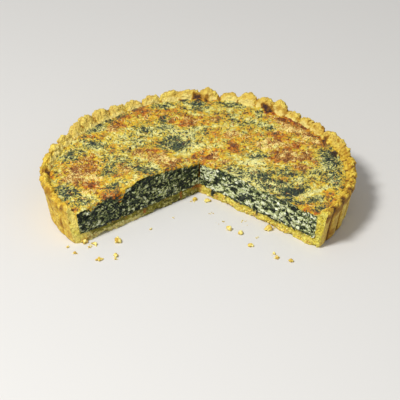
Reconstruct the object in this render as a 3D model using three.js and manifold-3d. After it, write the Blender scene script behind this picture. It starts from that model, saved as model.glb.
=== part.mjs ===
// A ricotta and spinach pie in a fluted shortcrust case, with a wide wedge already cut out of it.
// Millimetres, +Z up, standing on z = 0, with the missing wedge open towards -Y.
// The round case is worked out about its own centre, which lies inside the missing wedge,
// and the group then moves the pie so that the middle of its footprint is at the origin.
import * as THREE from "three";
import { mergeVertices } from "three/addons/utils/BufferGeometryUtils.js";
import Module from "manifold-3d";

// The case, as it leaves a loose-bottomed fluted tin
const rimRadius = 126.3;
const rimHeight = 36.2;
const rimCrestInset = 4;
const rimShoulder = 2.4;
const rimShoulderDrop = 0.9;
const rimOverhang = 0.9;
const baseRadius = 117;
const baseThickness = 8.5;
const rimBandWidth = 9.8;
const wallFootThickness = 8;
const bottomEdgeRound = 1.6;
const floorFillet = 3;
const fluteCount = 47;
const fluteDepth = 2.4;
const fluteSharpness = 0.6;
const footFluteShare = 0.8;
const firstFluteDeg = 18;
const segmentsPerFlute = 5;

// Beside the missing wedge the wall was pressed thin and upright, and on the left almost smooth
const pressedStretches = [
  { middleDeg: 210, halfWidthDeg: 34, smoother: 0.55, baseOut: 2.6, thinner: 3.2, narrower: 1.6 },
  { middleDeg: 325, halfWidthDeg: 42, smoother: 0, baseOut: 2.4, thinner: 4.2, narrower: 0.4 },
];

// How uneven the baked rim is, from one lobe to the next
const unevenSeed = 20;
const lobeHeightSpread = 0.9;
const lobeReachSpread = 0.7;
const notchDrop = 1.5;
const notchDropSpread = 0.7;
const deepNotches = [
  { deg: 60, drop: 2.6 },
  { deg: 80, drop: 2.2 },
];

// Stretches of the rim, and two single lobes, that stand taller and further out than the rest
const rimSwells = [
  { deg: 140, halfWidthDeg: 16, up: 3.3, out: 3.2 },
  { deg: 57, halfWidthDeg: 7, up: 3.4, out: 1.5 },
  { deg: 66, halfWidthDeg: 9, up: 1.6, out: 0.8 },
  { deg: 95, halfWidthDeg: 12, up: 1.2, out: 0.6 },
  { deg: 19, halfWidthDeg: 12, up: 2, out: 1.6 },
  { deg: 340, halfWidthDeg: 34, up: 0, out: 0.9 },
];

// How far the rim's outline strays from a circle: waves round the case, and its flutes' drift
const outlineWaves = [
  { turns: 2, cos: 0.3, sin: -0.2 },
  { turns: 3, cos: -0.9, sin: -1.6 },
  { turns: 4, cos: 2.6, sin: 0.2 },
];
const fluteDriftWaves = [
  { turns: 1, cos: -0.9, sin: 0.5 },
  { turns: 2, cos: 0.5, sin: -1.3 },
];

// The filling
const fillingHeight = 31;
const fillingGap = 0.3;
const fillingSegments = 124;
const fillingRingStep = 7;
const fillingLumpHeight = 0.75;
const fillingLumpSize = 15;
const fillingEdgeDip = 0.9;
const fillingEdgeDipWidth = 9;
const pointSag = 2.4;
const pointSagReach = 30;
const domeBesideCut = { x: -38.5, y: -18, up: 4.6, reach: 25 };

// The cut, made with a knife from a point just behind the case's centre
const cutApex = new THREE.Vector2(0.2, 14.9);
const leftCutDeg = 220.3;
const rightCutDeg = 317;
const cutReach = 150;
const cutGrid = 5;
const cutHeightGrid = 4;
const cutRelief = 0.45;
const cutReliefSize = 9;
const cutClearance = 8;
const knifeNick = { length: 8, overlap: 0.5, width: 1.4, floorZ: 15 };

// The middle of the footprint, seen from the round case's centre
const footprintCentre = new THREE.Vector2(-0.94, 26.23);

const crustMaterial = new THREE.MeshStandardMaterial({ color: 0xe0b95c, roughness: 0.75, metalness: 0 });
const fillingMaterial = new THREE.MeshStandardMaterial({ color: 0xa08a46, roughness: 0.6, metalness: 0 });

const radians = THREE.MathUtils.degToRad;
const lerp = THREE.MathUtils.lerp;
const smooth = THREE.MathUtils.smoothstep;

// A repeatable draw between -1 and 1
function seededDraw(seed) {
  let state = seed;
  return () => {
    state = (Math.imul(state, 1664525) + 1013904223) >>> 0;
    return (state / 2 ** 32) * 2 - 1;
  };
}

function sumOfWaves(waves, angle) {
  return waves.reduce((sum, wave) => {
    return sum + wave.cos * Math.cos(wave.turns * angle) + wave.sin * Math.sin(wave.turns * angle);
  }, 0);
}

// Three crossing waves, which together look like gentle lumps between -1 and 1
function lumps(x, y, size) {
  const across = Math.sin(x / size + 1.3 * Math.sin(y / (1.7 * size)));
  const along = Math.sin(y / (0.9 * size) + 1.1 * Math.sin(x / (1.3 * size)) + 2);
  const slanting = Math.sin((x + 0.8 * y) / (0.6 * size) + 4);
  return 0.4 * across + 0.4 * along + 0.2 * slanting;
}

// The true angle round the case of a point that is a given number of flutes along
function angleOfFlute(flute) {
  const even = (flute / fluteCount) * 2 * Math.PI;
  return even + radians(firstFluteDeg) + radians(sumOfWaves(fluteDriftWaves, even));
}

function angleBetween(a, b) {
  return Math.abs(Math.atan2(Math.sin(a - b), Math.cos(a - b)));
}

// Each lobe's extra height and reach, and the drop of the notch that comes before it
function drawRimLobes() {
  const draw = seededDraw(unevenSeed);
  const lobes = [];
  for (let index = 0; index < fluteCount; index += 1) {
    const notchAngle = angleOfFlute(index - 0.5);
    const isHere = (notch) => angleBetween(radians(notch.deg), notchAngle) < Math.PI / fluteCount;
    const deep = deepNotches.find(isHere);
    lobes.push({
      height: lobeHeightSpread * draw(),
      reach: lobeReachSpread * draw(),
      drop: notchDrop + notchDropSpread * draw() + (deep ? deep.drop : 0),
    });
  }
  return lobes;
}

const rimLobes = drawRimLobes();

function swellAt(angle, key) {
  return rimSwells.reduce((sum, swell) => {
    const away = angleBetween(angle, radians(swell.deg)) / radians(swell.halfWidthDeg);
    return sum + swell[key] * (1 - smooth(away, 0.25, 1));
  }, 0);
}

// What the rim does at a point along the flutes: whole numbers are the middles of lobes
function rimAt(flute, angle) {
  const wrapped = ((flute % fluteCount) + fluteCount) % fluteCount;
  const index = Math.round(wrapped) % fluteCount;
  const offset = wrapped - Math.round(wrapped);
  const lobe = rimLobes[index];
  const notch = offset < 0 ? lobe : rimLobes[(index + 1) % fluteCount];
  const rib = Math.cos(Math.PI * offset) ** fluteSharpness;
  return {
    rib,
    height: lobe.height * rib - notch.drop * (1 - rib) + swellAt(angle, "up"),
    reach: lobe.reach * rib + swellAt(angle, "out"),
  };
}

// How much the pressing changes the wall at an angle, in full in the middle of a pressed stretch
function pressingAt(angle) {
  const pressing = { smoother: 0, baseOut: 0, thinner: 0, narrower: 0 };
  for (const stretch of pressedStretches) {
    const away = angleBetween(angle, radians(stretch.middleDeg)) / radians(stretch.halfWidthDeg);
    const share = 1 - smooth(away, 0.4, 1);
    for (const key of Object.keys(pressing)) pressing[key] += share * stretch[key];
  }
  return pressing;
}

function innerTopRadius(pressing) {
  return rimRadius - rimBandWidth + pressing.narrower;
}

function innerFootRadius(pressing) {
  return baseRadius - wallFootThickness + pressing.baseOut + pressing.thinner;
}

// Rows of the crust's section, from the middle of the underside, up the wall, over the rim and back.
// flute is the share of the flutes' depth that a row has, and rim the share of the lobes' unevenness.
function crustRows(pressing) {
  const base = baseRadius + pressing.baseOut;
  const wall = rimRadius - rimOverhang;
  const outerRow = (z, out, rim) => ({ r: lerp(base, wall, z / rimHeight) + out, z, flute: 1, rim });
  const crest = rimRadius - rimCrestInset;
  const innerTop = innerTopRadius(pressing);
  const innerFoot = innerFootRadius(pressing);
  return [
    { r: 0, z: 0, flute: 0, rim: 0 },
    { r: base - bottomEdgeRound, z: 0, flute: footFluteShare, rim: 0 },
    { r: base, z: bottomEdgeRound, flute: footFluteShare, rim: 0 },
    outerRow(0.3 * rimHeight, 0, 0),
    outerRow(0.6 * rimHeight, 0, 0.2),
    outerRow(0.8 * rimHeight, 0.7 * rimOverhang, 0.6),
    outerRow(0.92 * rimHeight, rimOverhang, 1),
    { r: crest + rimShoulder, z: rimHeight - rimShoulderDrop, flute: 0.9, rim: 1 },
    { r: crest, z: rimHeight, flute: 0.5, rim: 1 },
    { r: crest - rimShoulder, z: rimHeight - rimShoulderDrop, flute: 0, rim: 1 },
    { r: innerTop + fillingEdgeDip, z: fillingHeight + fillingEdgeDip, flute: -0.25, rim: 0.6 },
    { r: innerTop, z: fillingHeight - fillingEdgeDip, flute: 0, rim: 0 },
    { r: innerFoot, z: baseThickness + floorFillet, flute: 0, rim: 0 },
    { r: innerFoot - 0.3 * floorFillet, z: baseThickness + 0.3 * floorFillet, flute: 0, rim: 0 },
    { r: innerFoot - floorFillet, z: baseThickness, flute: 0, rim: 0 },
    { r: 0, z: baseThickness, flute: 0, rim: 0 },
  ];
}

// A lathe's grid of vertices turned to +Z up, each placed by the given function of row and turn
function shapedLathe(rowCount, segments, place) {
  const profile = Array.from({ length: rowCount }, (_, row) => new THREE.Vector2(row ? 1 : 0, row));
  const geometry = new THREE.LatheGeometry(profile, segments);
  const position = geometry.getAttribute("position");
  for (let segment = 0; segment <= segments; segment += 1) {
    for (let row = 0; row < rowCount; row += 1) {
      const point = place(row, (segment % segments) / segments);
      position.setXYZ(segment * rowCount + row, point.x, point.y, point.z);
    }
  }
  return geometry;
}

function makeCrustGeometry() {
  const rowCount = crustRows(pressingAt(0)).length;
  return shapedLathe(rowCount, fluteCount * segmentsPerFlute, (index, turn) => {
    const flute = turn * fluteCount + 0.5;
    const angle = angleOfFlute(flute);
    const pressing = pressingAt(angle);
    const row = crustRows(pressing)[index];
    const rim = rimAt(flute, angle);
    const spread = row.r > 0 ? sumOfWaves(outlineWaves, angle) : 0;
    const depth = fluteDepth * (1 - pressing.smoother);
    const radius = row.r + spread + row.flute * depth * (rim.rib - 1) + row.rim * rim.reach;
    return new THREE.Vector3(
      radius * Math.cos(angle),
      radius * Math.sin(angle),
      row.z + row.rim * rim.height,
    );
  });
}

// Rows of the filling's section, from the middle of its floor to the middle of its top
function fillingRows(pressing) {
  const top = innerTopRadius(pressing) - fillingGap;
  const foot = innerFootRadius(pressing) - fillingGap;
  const floor = baseThickness + fillingGap;
  const rows = [
    { r: 0, z: floor, top: false },
    { r: foot - floorFillet, z: floor, top: false },
    { r: foot - 0.3 * floorFillet, z: floor + 0.3 * floorFillet, top: false },
    { r: foot, z: floor + floorFillet, top: false },
    { r: top, z: fillingHeight - fillingEdgeDip - fillingGap, top: false },
  ];
  const ringCount = Math.round(top / fillingRingStep);
  for (let ring = ringCount - 0.25; ring >= 1; ring -= 1) {
    rows.push({ r: (top * ring) / ringCount, z: fillingHeight, top: true });
  }
  rows.push({ r: 0, z: fillingHeight, top: true });
  return rows;
}

// The baked top is lumpy, lower where it meets the rim, sags at the point that the knife left,
// and rose into a low dome beside the left cut
function fillingTopAt(x, y, fromCentre) {
  const edge = smooth(fromCentre, rimRadius - rimBandWidth - fillingEdgeDipWidth, rimRadius - rimBandWidth);
  const sag = 1 - smooth(Math.hypot(x - cutApex.x, y - cutApex.y), 0, pointSagReach);
  const lump = fillingLumpHeight * lumps(x, y, fillingLumpSize);
  const fromDome = Math.hypot(x - domeBesideCut.x, y - domeBesideCut.y) / domeBesideCut.reach;
  const dome = domeBesideCut.up * Math.exp(-fromDome * fromDome);
  return fillingHeight - fillingEdgeDip * edge - pointSag * sag + dome + lump;
}

function makeFillingGeometry() {
  const rowCount = fillingRows(pressingAt(0)).length;
  return shapedLathe(rowCount, fillingSegments, (index, turn) => {
    const angle = turn * 2 * Math.PI;
    const row = fillingRows(pressingAt(angle))[index];
    const radius = row.r + (row.r > 0 ? sumOfWaves(outlineWaves, angle) : 0);
    const x = radius * Math.cos(angle);
    const y = radius * Math.sin(angle);
    return new THREE.Vector3(x, y, row.top ? fillingTopAt(x, y, row.r) : row.z);
  });
}

// The wedge that was taken out: a tall prism whose two knife faces are a little craggy
function makeWedgeGeometry() {
  const directions = [leftCutDeg, rightCutDeg].map((deg) => {
    return new THREE.Vector2(Math.cos(radians(deg)), Math.sin(radians(deg)));
  });
  const steps = Math.round(cutReach / cutGrid);
  const outline = [];
  for (let step = steps; step > 0; step -= 1) {
    outline.push(cutApex.clone().addScaledVector(directions[0], (cutReach * step) / steps));
  }
  for (let step = 0; step <= steps; step += 1) {
    outline.push(cutApex.clone().addScaledVector(directions[1], (cutReach * step) / steps));
  }
  outline.push(new THREE.Vector2(outline[outline.length - 1].x, -cutReach));
  outline.push(new THREE.Vector2(outline[0].x, -cutReach));
  const height = rimHeight + 2 * cutClearance;
  const geometry = new THREE.ExtrudeGeometry(new THREE.Shape(outline), {
    depth: height,
    steps: Math.round(height / cutHeightGrid),
    bevelEnabled: false,
  });
  geometry.translate(0, 0, -cutClearance);
  const position = geometry.getAttribute("position");
  const point = new THREE.Vector3();
  for (let index = 0; index < position.count; index += 1) {
    point.fromBufferAttribute(position, index);
    const along = Math.hypot(point.x - cutApex.x, point.y - cutApex.y);
    const side = Math.sign(point.x - cutApex.x);
    const relief = cutRelief * lumps(along * side, point.z, cutReliefSize) * Math.min(1, along / cutGrid);
    position.setY(index, point.y + relief);
  }
  return geometry;
}

// Where the knife ran on past the point of the wedge, in line with the right-hand cut
function makeNickGeometry() {
  const height = rimHeight + cutClearance - knifeNick.floorZ;
  const geometry = new THREE.BoxGeometry(knifeNick.length, knifeNick.width, height);
  geometry.translate(knifeNick.overlap - knifeNick.length / 2, 0, 0);
  geometry.rotateZ(radians(rightCutDeg));
  geometry.translate(cutApex.x, cutApex.y, knifeNick.floorZ + height / 2);
  return geometry;
}

const wasm = await Module();
wasm.setup();

function solidFromGeometry(geometry) {
  const bare = geometry.clone();
  bare.deleteAttribute("normal");
  bare.deleteAttribute("uv");
  const merged = mergeVertices(bare, 1e-4);
  const kept = [];
  const index = merged.index.array;
  for (let i = 0; i < index.length; i += 3) {
    const [a, b, c] = [index[i], index[i + 1], index[i + 2]];
    if (a !== b && b !== c && c !== a) kept.push(a, b, c);
  }
  return new wasm.Manifold(
    new wasm.Mesh({
      numProp: 3,
      vertProperties: merged.getAttribute("position").array,
      triVerts: new Uint32Array(kept),
    }),
  );
}

function geometryFromSolid(solid) {
  const mesh = solid.getMesh();
  const geometry = new THREE.BufferGeometry();
  geometry.setAttribute("position", new THREE.BufferAttribute(mesh.vertProperties, mesh.numProp));
  geometry.setIndex(new THREE.BufferAttribute(mesh.triVerts, 1));
  geometry.computeVertexNormals();
  return geometry;
}

function makeNamedMesh(name, solid, material) {
  const mesh = new THREE.Mesh(geometryFromSolid(solid), material);
  mesh.name = name;
  return mesh;
}

const wedge = solidFromGeometry(makeWedgeGeometry());
const nick = solidFromGeometry(makeNickGeometry());
const crust = solidFromGeometry(makeCrustGeometry()).subtract(wedge);
const filling = solidFromGeometry(makeFillingGeometry()).subtract(wedge).subtract(nick);

const pie = new THREE.Group();
pie.add(makeNamedMesh("crust", crust, crustMaterial));
pie.add(makeNamedMesh("filling", filling, fillingMaterial));
pie.position.set(-footprintCentre.x, -footprintCentre.y, 0);

export default pie;
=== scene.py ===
import math

import bmesh
import bpy
import numpy as np
from mathutils import Matrix, Vector


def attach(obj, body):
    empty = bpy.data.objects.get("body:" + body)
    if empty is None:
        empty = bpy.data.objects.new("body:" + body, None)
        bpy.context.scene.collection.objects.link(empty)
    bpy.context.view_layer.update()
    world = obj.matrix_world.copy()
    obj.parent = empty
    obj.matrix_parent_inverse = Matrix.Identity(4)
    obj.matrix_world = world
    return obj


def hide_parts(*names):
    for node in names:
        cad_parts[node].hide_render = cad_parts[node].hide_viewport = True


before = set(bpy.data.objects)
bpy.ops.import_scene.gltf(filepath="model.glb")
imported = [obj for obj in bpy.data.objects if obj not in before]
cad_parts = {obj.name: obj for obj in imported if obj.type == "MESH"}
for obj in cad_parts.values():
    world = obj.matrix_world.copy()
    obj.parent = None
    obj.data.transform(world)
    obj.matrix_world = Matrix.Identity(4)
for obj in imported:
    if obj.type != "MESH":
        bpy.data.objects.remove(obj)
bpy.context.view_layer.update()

# A ricotta and spinach pie in a fluted shortcrust case, with a wedge cut out.
# Shapes are worked out in millimetres in the frame's axes; addObject turns them into metres.

mm = 0.001
middleOfCase = np.array([0.94, -26.23])   # the round case's centre, inside the missing wedge
caseShape = {
    "rimRadius": 126.3, "rimHeight": 36.2, "crestInset": 4.0, "shoulder": 2.4, "shoulderDrop": 0.9,
    "overhang": 0.9, "baseRadius": 117.0, "baseThickness": 8.5, "rimBand": 9.8, "wallFoot": 8.0,
    "edgeRound": 1.6, "floorFillet": 3.0, "flutes": 47, "fluteDepth": 2.4, "fluteSharpness": 0.6,
    "footFluteShare": 0.8, "firstFluteDeg": 18.0,
}
# beside the wedge the wall was pressed thin and upright, and on the left almost smooth
pressedStretches = [
    {"middleDeg": 210, "halfWidthDeg": 34, "smoother": 0.55, "baseOut": 2.6, "thinner": 3.2, "narrower": 1.6},
    {"middleDeg": 325, "halfWidthDeg": 42, "smoother": 0.0, "baseOut": 2.4, "thinner": 4.2, "narrower": 0.4},
]
rimUneven = {
    "seed": 20, "height": 0.9, "reach": 0.7, "drop": 1.5, "dropSpread": 0.7, "crisper": 1.8, "blunter": 0.8,
}
deepNotches = [(60, 2.6), (80, 2.2)]   # degrees, extra depth
# degrees, half width in degrees, up, out
rimSwells = [
    (140, 16, 3.3, 3.2), (57, 7, 3.4, 1.5), (66, 9, 1.6, 0.8), (95, 12, 1.2, 0.6), (19, 12, 2, 1.6),
    (340, 34, 0, 0.9),
]
outlineWaves = [(2, 0.3, -0.2), (3, -0.9, -1.6), (4, 2.6, 0.2)]
driftWaves = [(1, -0.9, 0.5), (2, 0.5, -1.3)]
fillingShape = {
    "height": 31.0, "lump": 0.75, "lumpSize": 15.0, "edgeDip": 0.9, "edgeWidth": 9.0,
    "pointSag": 2.4, "sagReach": 30.0, "intoWall": 0.4,
    "domeAt": (-39.5, -45.8), "dome": 5.0, "domeReach": 25.0,
}
cutShape = {
    "apex": np.array([1.14, -11.33]), "leftDeg": 220.3, "rightDeg": 317.0, "reach": 150.0,
    "grid": 0.6, "clearance": 8.0, "relief": 0.45, "reliefSize": 9.0, "easeIn": 3.0,
}
# where the knife ran on past the point
nick = {"deg": 111, "length": 10.5, "width": 1.9, "farWidth": 0.5, "overlap": 0.8, "floor": 15.0}


def directionOf(deg):
    return np.array([math.cos(math.radians(deg)), math.sin(math.radians(deg))])


# Pseudo-random whole numbers for lattice cells
def scrambled(cells, seed):
    at = cells.astype(np.int64).astype(np.uint64)
    mixed = at[:, 0] * 374761393 + at[:, 1] * 668265263 + at[:, 2] * 1440670441 + (seed + 1) * 97531
    mixed = mixed.astype(np.uint32)
    mixed = (mixed ^ (mixed >> np.uint32(13))) * np.uint32(1274126177)
    mixed = (mixed ^ (mixed >> np.uint32(15))) * np.uint32(2246822519)
    return mixed ^ (mixed >> np.uint32(14))


# Smooth repeatable noise between -1 and 1, on a lattice whose cells are as wide as size
def softNoise(points, size, seed=0):
    scaled = np.asarray(points, float) / size
    cell = np.floor(scaled)
    part = scaled - cell
    ease = part * part * (3 - 2 * part)
    total = np.zeros(len(scaled))
    for corner in range(8):
        bits = np.array([corner & 1, corner >> 1 & 1, corner >> 2 & 1])
        side = np.where(bits, ease, 1 - ease)
        total += side[:, 0] * side[:, 1] * side[:, 2] * (scrambled(cell + bits, seed) / 2147483647.5 - 1)
    return total


def layeredNoise(points, size, layers, seed=0):
    total = np.zeros(len(points))
    strength = 1.0
    whole = 0.0
    for layer in range(layers):
        total += strength * softNoise(points, size / 2 ** layer, seed + 17 * layer)
        whole += strength
        strength *= 0.6
    return total / whole


# Distance to the nearest of scattered seeds, for pebbly crumbs: 0 at a seed and about 0.8 between them
def pebbles(points, size, seed=0):
    scaled = np.asarray(points, float) / size
    cell = np.floor(scaled)
    nearest = np.full(len(scaled), 9.0)
    for step in np.ndindex(3, 3, 3):
        at = cell + np.array(step) - 1
        bits = scrambled(at, seed)
        jitter = np.stack([bits & 1023, bits >> 10 & 1023, bits >> 20 & 1023], axis=1) / 1023
        gap = at + jitter - scaled
        nearest = np.minimum(nearest, (gap * gap).sum(axis=1))
    return np.sqrt(nearest)


def ramp(value, low, high):
    share = np.clip((value - low) / (high - low), 0, 1)
    return share * share * (3 - 2 * share)


def angleDifference(a, b):
    return np.arctan2(np.sin(a - b), np.cos(a - b))


# 1 round an angle, easing to 0 from the full share of halfWidth to its end; both are in degrees
def nearAngle(angle, deg, halfWidth, full):
    away = np.abs(angleDifference(angle, math.radians(deg)))
    return 1 - ramp(away / math.radians(halfWidth), full, 1)


# Angle and distance of places from the case's centre, and points at such places
def aroundCase(x, y):
    offsetX, offsetY = x - middleOfCase[0], y - middleOfCase[1]
    return np.arctan2(offsetY, offsetX), np.hypot(offsetX, offsetY)


def ringPoints(angle, radius, z):
    x = middleOfCase[0] + radius * np.cos(angle)
    return np.column_stack([x, middleOfCase[1] + radius * np.sin(angle), z])


def sumOfWaves(waves, angle):
    return sum(c * np.cos(turns * angle) + s * np.sin(turns * angle) for turns, c, s in waves)


def lumps(x, y, size):
    across = np.sin(x / size + 1.3 * np.sin(y / (1.7 * size)))
    along = np.sin(y / (0.9 * size) + 1.1 * np.sin(x / (1.3 * size)) + 2)
    slanting = np.sin((x + 0.8 * y) / (0.6 * size) + 4)
    return 0.4 * across + 0.4 * along + 0.2 * slanting


def flat(x, y, z=0.0):
    return np.stack([x, y, np.full_like(x, z)], axis=1)


# The rim's lobes come from the same draws as in the solid
def drawLobes():
    state = rimUneven["seed"]
    flutes = caseShape["flutes"]
    drawn = []
    for _ in range(3 * flutes):
        state = (state * 1664525 + 1013904223) % 2 ** 32
        drawn.append(state / 2 ** 32 * 2 - 1)
    height, reach, drop = np.array(drawn).reshape(flutes, 3).T
    drop = rimUneven["drop"] + rimUneven["dropSpread"] * drop
    notchAngle = angleOfFlute(np.arange(flutes) - 0.5)
    for deg, extra in deepNotches:
        away = np.abs(angleDifference(math.radians(deg), notchAngle))
        drop = drop + extra * (away < math.pi / flutes)
    return rimUneven["height"] * height, rimUneven["reach"] * reach, rimUneven["crisper"] * drop


def angleOfFlute(flute):
    even = flute / caseShape["flutes"] * 2 * math.pi
    return even + math.radians(caseShape["firstFluteDeg"]) + np.radians(sumOfWaves(driftWaves, even))


def fluteOfAngle(angle):
    perTurn = caseShape["flutes"] / (2 * math.pi)
    flute = (angle - math.radians(caseShape["firstFluteDeg"])) * perTurn
    for _ in range(4):
        flute = flute + angleDifference(angle, angleOfFlute(flute)) * perTurn
    return flute


def pressingAt(angle):
    total = {key: 0.0 for key in ("smoother", "baseOut", "thinner", "narrower")}
    for stretch in pressedStretches:
        share = nearAngle(angle, stretch["middleDeg"], stretch["halfWidthDeg"], 0.4)
        for key in total:
            total[key] = total[key] + share * stretch[key]
    return total


def swellAt(angle):
    up, out = 0, 0
    for deg, halfWidth, rise, reach in rimSwells:
        share = nearAngle(angle, deg, halfWidth, 0.25)
        up = up + rise * share
        out = out + reach * share
    return up, out


lobeHeight, lobeReach, notchDrop = drawLobes()


# rib is 1 on a lobe and 0 in the crease between two
def rimAt(flute, angle):
    flutes = caseShape["flutes"]
    wrapped = np.mod(flute, flutes)
    nearest = np.round(wrapped)
    offset = wrapped - nearest
    lobe = nearest.astype(int) % flutes
    notch = np.where(offset < 0, lobe, (lobe + 1) % flutes)
    rib = np.clip(np.cos(math.pi * offset), 0, 1) ** caseShape["fluteSharpness"]
    up, out = swellAt(angle)
    crest = rib ** rimUneven["blunter"]
    height = lobeHeight[lobe] * crest - notchDrop[notch] * (1 - crest) + up
    return rib, height, lobeReach[lobe] * crest + out


# Radii of the wall's inner side, before any pressing
innerTopRadius = caseShape["rimRadius"] - caseShape["rimBand"]
innerFootRadius = caseShape["baseRadius"] - caseShape["wallFoot"]


# Rows of the crust's section: radius, height, shares of the pressing (base out, thinner, narrower),
# share of the flutes, share of the lobes, and how rough the surface is
def crustSection():
    s = caseShape
    base, fill, dip = s["baseRadius"], fillingShape["height"], fillingShape["edgeDip"]
    wall, crest = s["rimRadius"] - s["overhang"], s["rimRadius"] - s["crestInset"]
    top, foot, fillet = innerTopRadius, innerFootRadius, s["floorFillet"]
    thick, high, footShare = s["baseThickness"], s["rimHeight"], s["footFluteShare"]

    def outer(share, proud, rim, rough):
        return [base + (wall - base) * share + proud, share * high, 1 - share, 0, 0, 1, rim, rough]

    return np.array([
        [0, 0, 0, 0, 0, 0, 0, 0],
        [base - s["edgeRound"], 0, 1, 0, 0, footShare, 0, 0],
        [base, s["edgeRound"], 1, 0, 0, footShare, 0, 0.1],
        outer(0.3, 0, 0, 0.1),
        outer(0.6, 0, 0.2, 0.14),
        outer(0.8, 0.7 * s["overhang"], 0.6, 0.5),
        outer(0.92, s["overhang"], 1, 0.9),
        [crest + s["shoulder"], high - s["shoulderDrop"], 0, 0, 0, 0.9, 1, 1],
        [crest, high, 0, 0, 0, 0.5, 1, 1],
        [crest - s["shoulder"], high - s["shoulderDrop"], 0, 0, 0, -0.3, 1, 1],
        [top + dip, fill + dip, 0, 0, 1, -0.4, 0.6, 0.9],
        [top, fill - dip, 0, 0, 1, 0, 0, 0.2],
        [foot, thick + fillet, 1, 1, 0, 0, 0, 0],
        [foot - 0.3 * fillet, thick + 0.3 * fillet, 1, 1, 0, 0, 0, 0],
        [foot - fillet, thick, 1, 1, 0, 0, 0, 0],
        [0, thick, 0, 0, 0, 0, 0, 0],
    ])


# The same rows about as far apart as step, wider where the surface is hidden, with eased corners
def denseSection(rows, step):
    dense = [rows[0]]
    for start, end in zip(rows[:-1], rows[1:]):
        length = math.hypot(*(end - start)[:2])
        hidden = start[-1] + end[-1] == 0
        count = max(1, round(length / (step * (4 if hidden else 1))))
        count = 4 if min(start[0], end[0]) < 1 else count
        dense.extend(start + (end - start) * k / count for k in range(1, count + 1))
    dense = np.array(dense)
    for _ in range(3):
        dense[5:-5] = (dense[4:-6] + 2 * dense[5:-5] + dense[6:-4]) / 4
    return dense


def meshOf(bm, name):
    mesh = bpy.data.meshes.new(name)
    bm.to_mesh(mesh)
    bm.free()
    return mesh


# A grid to be rolled into a closed shape: turn runs from 0 to 1 round it and row counts its rings
def rolledGrid(name, rowCount, steps):
    bm = bmesh.new()
    bmesh.ops.create_grid(bm, x_segments=steps, y_segments=rowCount - 1, size=0.5)
    mesh = meshOf(bm, name)
    spread = pointsOf(mesh)
    row = np.round((spread[:, 1] + 0.5) * (rowCount - 1)).astype(int)
    return mesh, row, spread[:, 0] + 0.5


def closeSeams(mesh, fillEnds=False):
    bm = bmesh.new()
    bm.from_mesh(mesh)
    bmesh.ops.remove_doubles(bm, verts=bm.verts, dist=1e-3)
    if fillEnds:
        bmesh.ops.holes_fill(bm, edges=bm.edges, sides=0)
    bmesh.ops.recalc_face_normals(bm, faces=bm.faces)
    bm.to_mesh(mesh)
    bm.free()


def readValues(items, name, width=1):
    values = np.empty(len(items) * width, np.float32)
    items.foreach_get(name, values)
    return values.reshape(-1, width).astype(float)


def pointsOf(mesh):
    return readValues(mesh.vertices, "co", 3)


def normalsOf(mesh):
    return readValues(mesh.vertex_normals, "vector", 3)


def setPoints(mesh, points):
    mesh.vertices.foreach_set("co", points.astype(np.float32).ravel())
    mesh.update()


def setAttribute(mesh, name, values):
    layer = mesh.attributes.get(name) or mesh.attributes.new(name, "FLOAT", "POINT")
    layer.data.foreach_set("value", np.asarray(values, np.float32))


def getAttribute(mesh, name):
    return readValues(mesh.attributes[name].data, "value")[:, 0]


def addObject(name, mesh, materials):
    setPoints(mesh, pointsOf(mesh) * mm)
    obj = bpy.data.objects.new(name, mesh)
    bpy.context.scene.collection.objects.link(obj)
    for material in materials:
        mesh.materials.append(material)
    mesh.shade_smooth()
    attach(obj, "root")
    return obj


# The knife faces: along is the distance from the wedge's point, and side -1 the left face, 1 the right one
def cutDirection(side):
    return directionOf(cutShape["leftDeg"] if side < 0 else cutShape["rightDeg"])


def cutNormal(side):
    direction = cutDirection(side)
    return np.array([direction[1], -direction[0]]) * side   # towards the missing wedge


def onKnifeFace(along, height, side):
    spot = cutShape["apex"] + np.outer(along, cutDirection(side))
    return np.column_stack([spot, height])


# Where a point of a knife face lies in the noise, each face in its own part
def facePattern(along, height, side):
    return flat(along, height, 400.0 * side)


# Features of each knife face, -1 the left one: along, height, half length, half height, slant, strength
cutLeaves = {
    -1: [
        (12, 24.5, 9, 2.6, 10, 0.8), (22, 27, 5, 3, 10, 0.9), (17, 15.5, 4, 3, 0, 0.9),
        (30, 27, 5, 4, 0, 0.9), (38, 31, 6, 1.6, 0, 0.7), (44, 24, 5, 3, 20, 0.8), (55, 31, 9, 2.6, 0, 0.9),
        (64, 33, 7, 1.6, 0, 0.8), (32, 18, 2.4, 4, 0, 0.7), (61, 21, 6, 1.6, 25, 0.7),
        (69, 16, 3, 3, 10, 0.6), (84, 18.6, 8, 1.6, 12, 1.1), (72, 27, 2, 4, 0, 0.7),
        (94, 28, 6, 2.4, 10, 1.0), (103, 26, 5, 2.4, 0, 0.8), (92, 14, 5, 1.6, 10, 0.6),
        (98, 21, 4, 1.4, 10, 0.6), (121, 27, 3, 5, 0, 0.9), (108, 20, 2.4, 2.4, 0, 0.6),
    ],
    1: [
        (18, 17, 7, 1.8, 45, 1.1), (54, 18.5, 7, 2.8, 0, 1.3), (48, 14.5, 6, 3.0, 35, 1.3),
        (36, 17.5, 2.6, 1.8, 20, 0.8), (60.5, 9.5, 1.5, 2.6, 0, 1.0), (76, 16, 4.5, 1.1, 10, 0.9),
        (97, 13, 1.6, 5, 0, 0.9), (109, 11, 2, 3.6, 0, 1.0), (88, 28.3, 10, 1.3, 0, 1.2),
        (62, 25.5, 6, 1.6, -15, 0.9), (26, 27, 4, 1.4, 20, 0.8), (36, 28, 6, 1.4, 25, 0.8),
        (46, 26, 5, 1.5, 20, 0.7), (4, 20, 3.5, 1.2, 10, 0.8), (104, 20, 1.6, 4, 0, 0.7),
        (118, 23, 2, 3.5, 0, 0.7), (113, 16, 1.6, 3, 0, 0.7), (8, 12.5, 5, 1.0, 20, 0.7),
        (105, 27.6, 8, 1.0, 0, 0.8), (83, 23, 1.6, 2.8, 0, 0.7),
    ],
}
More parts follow.
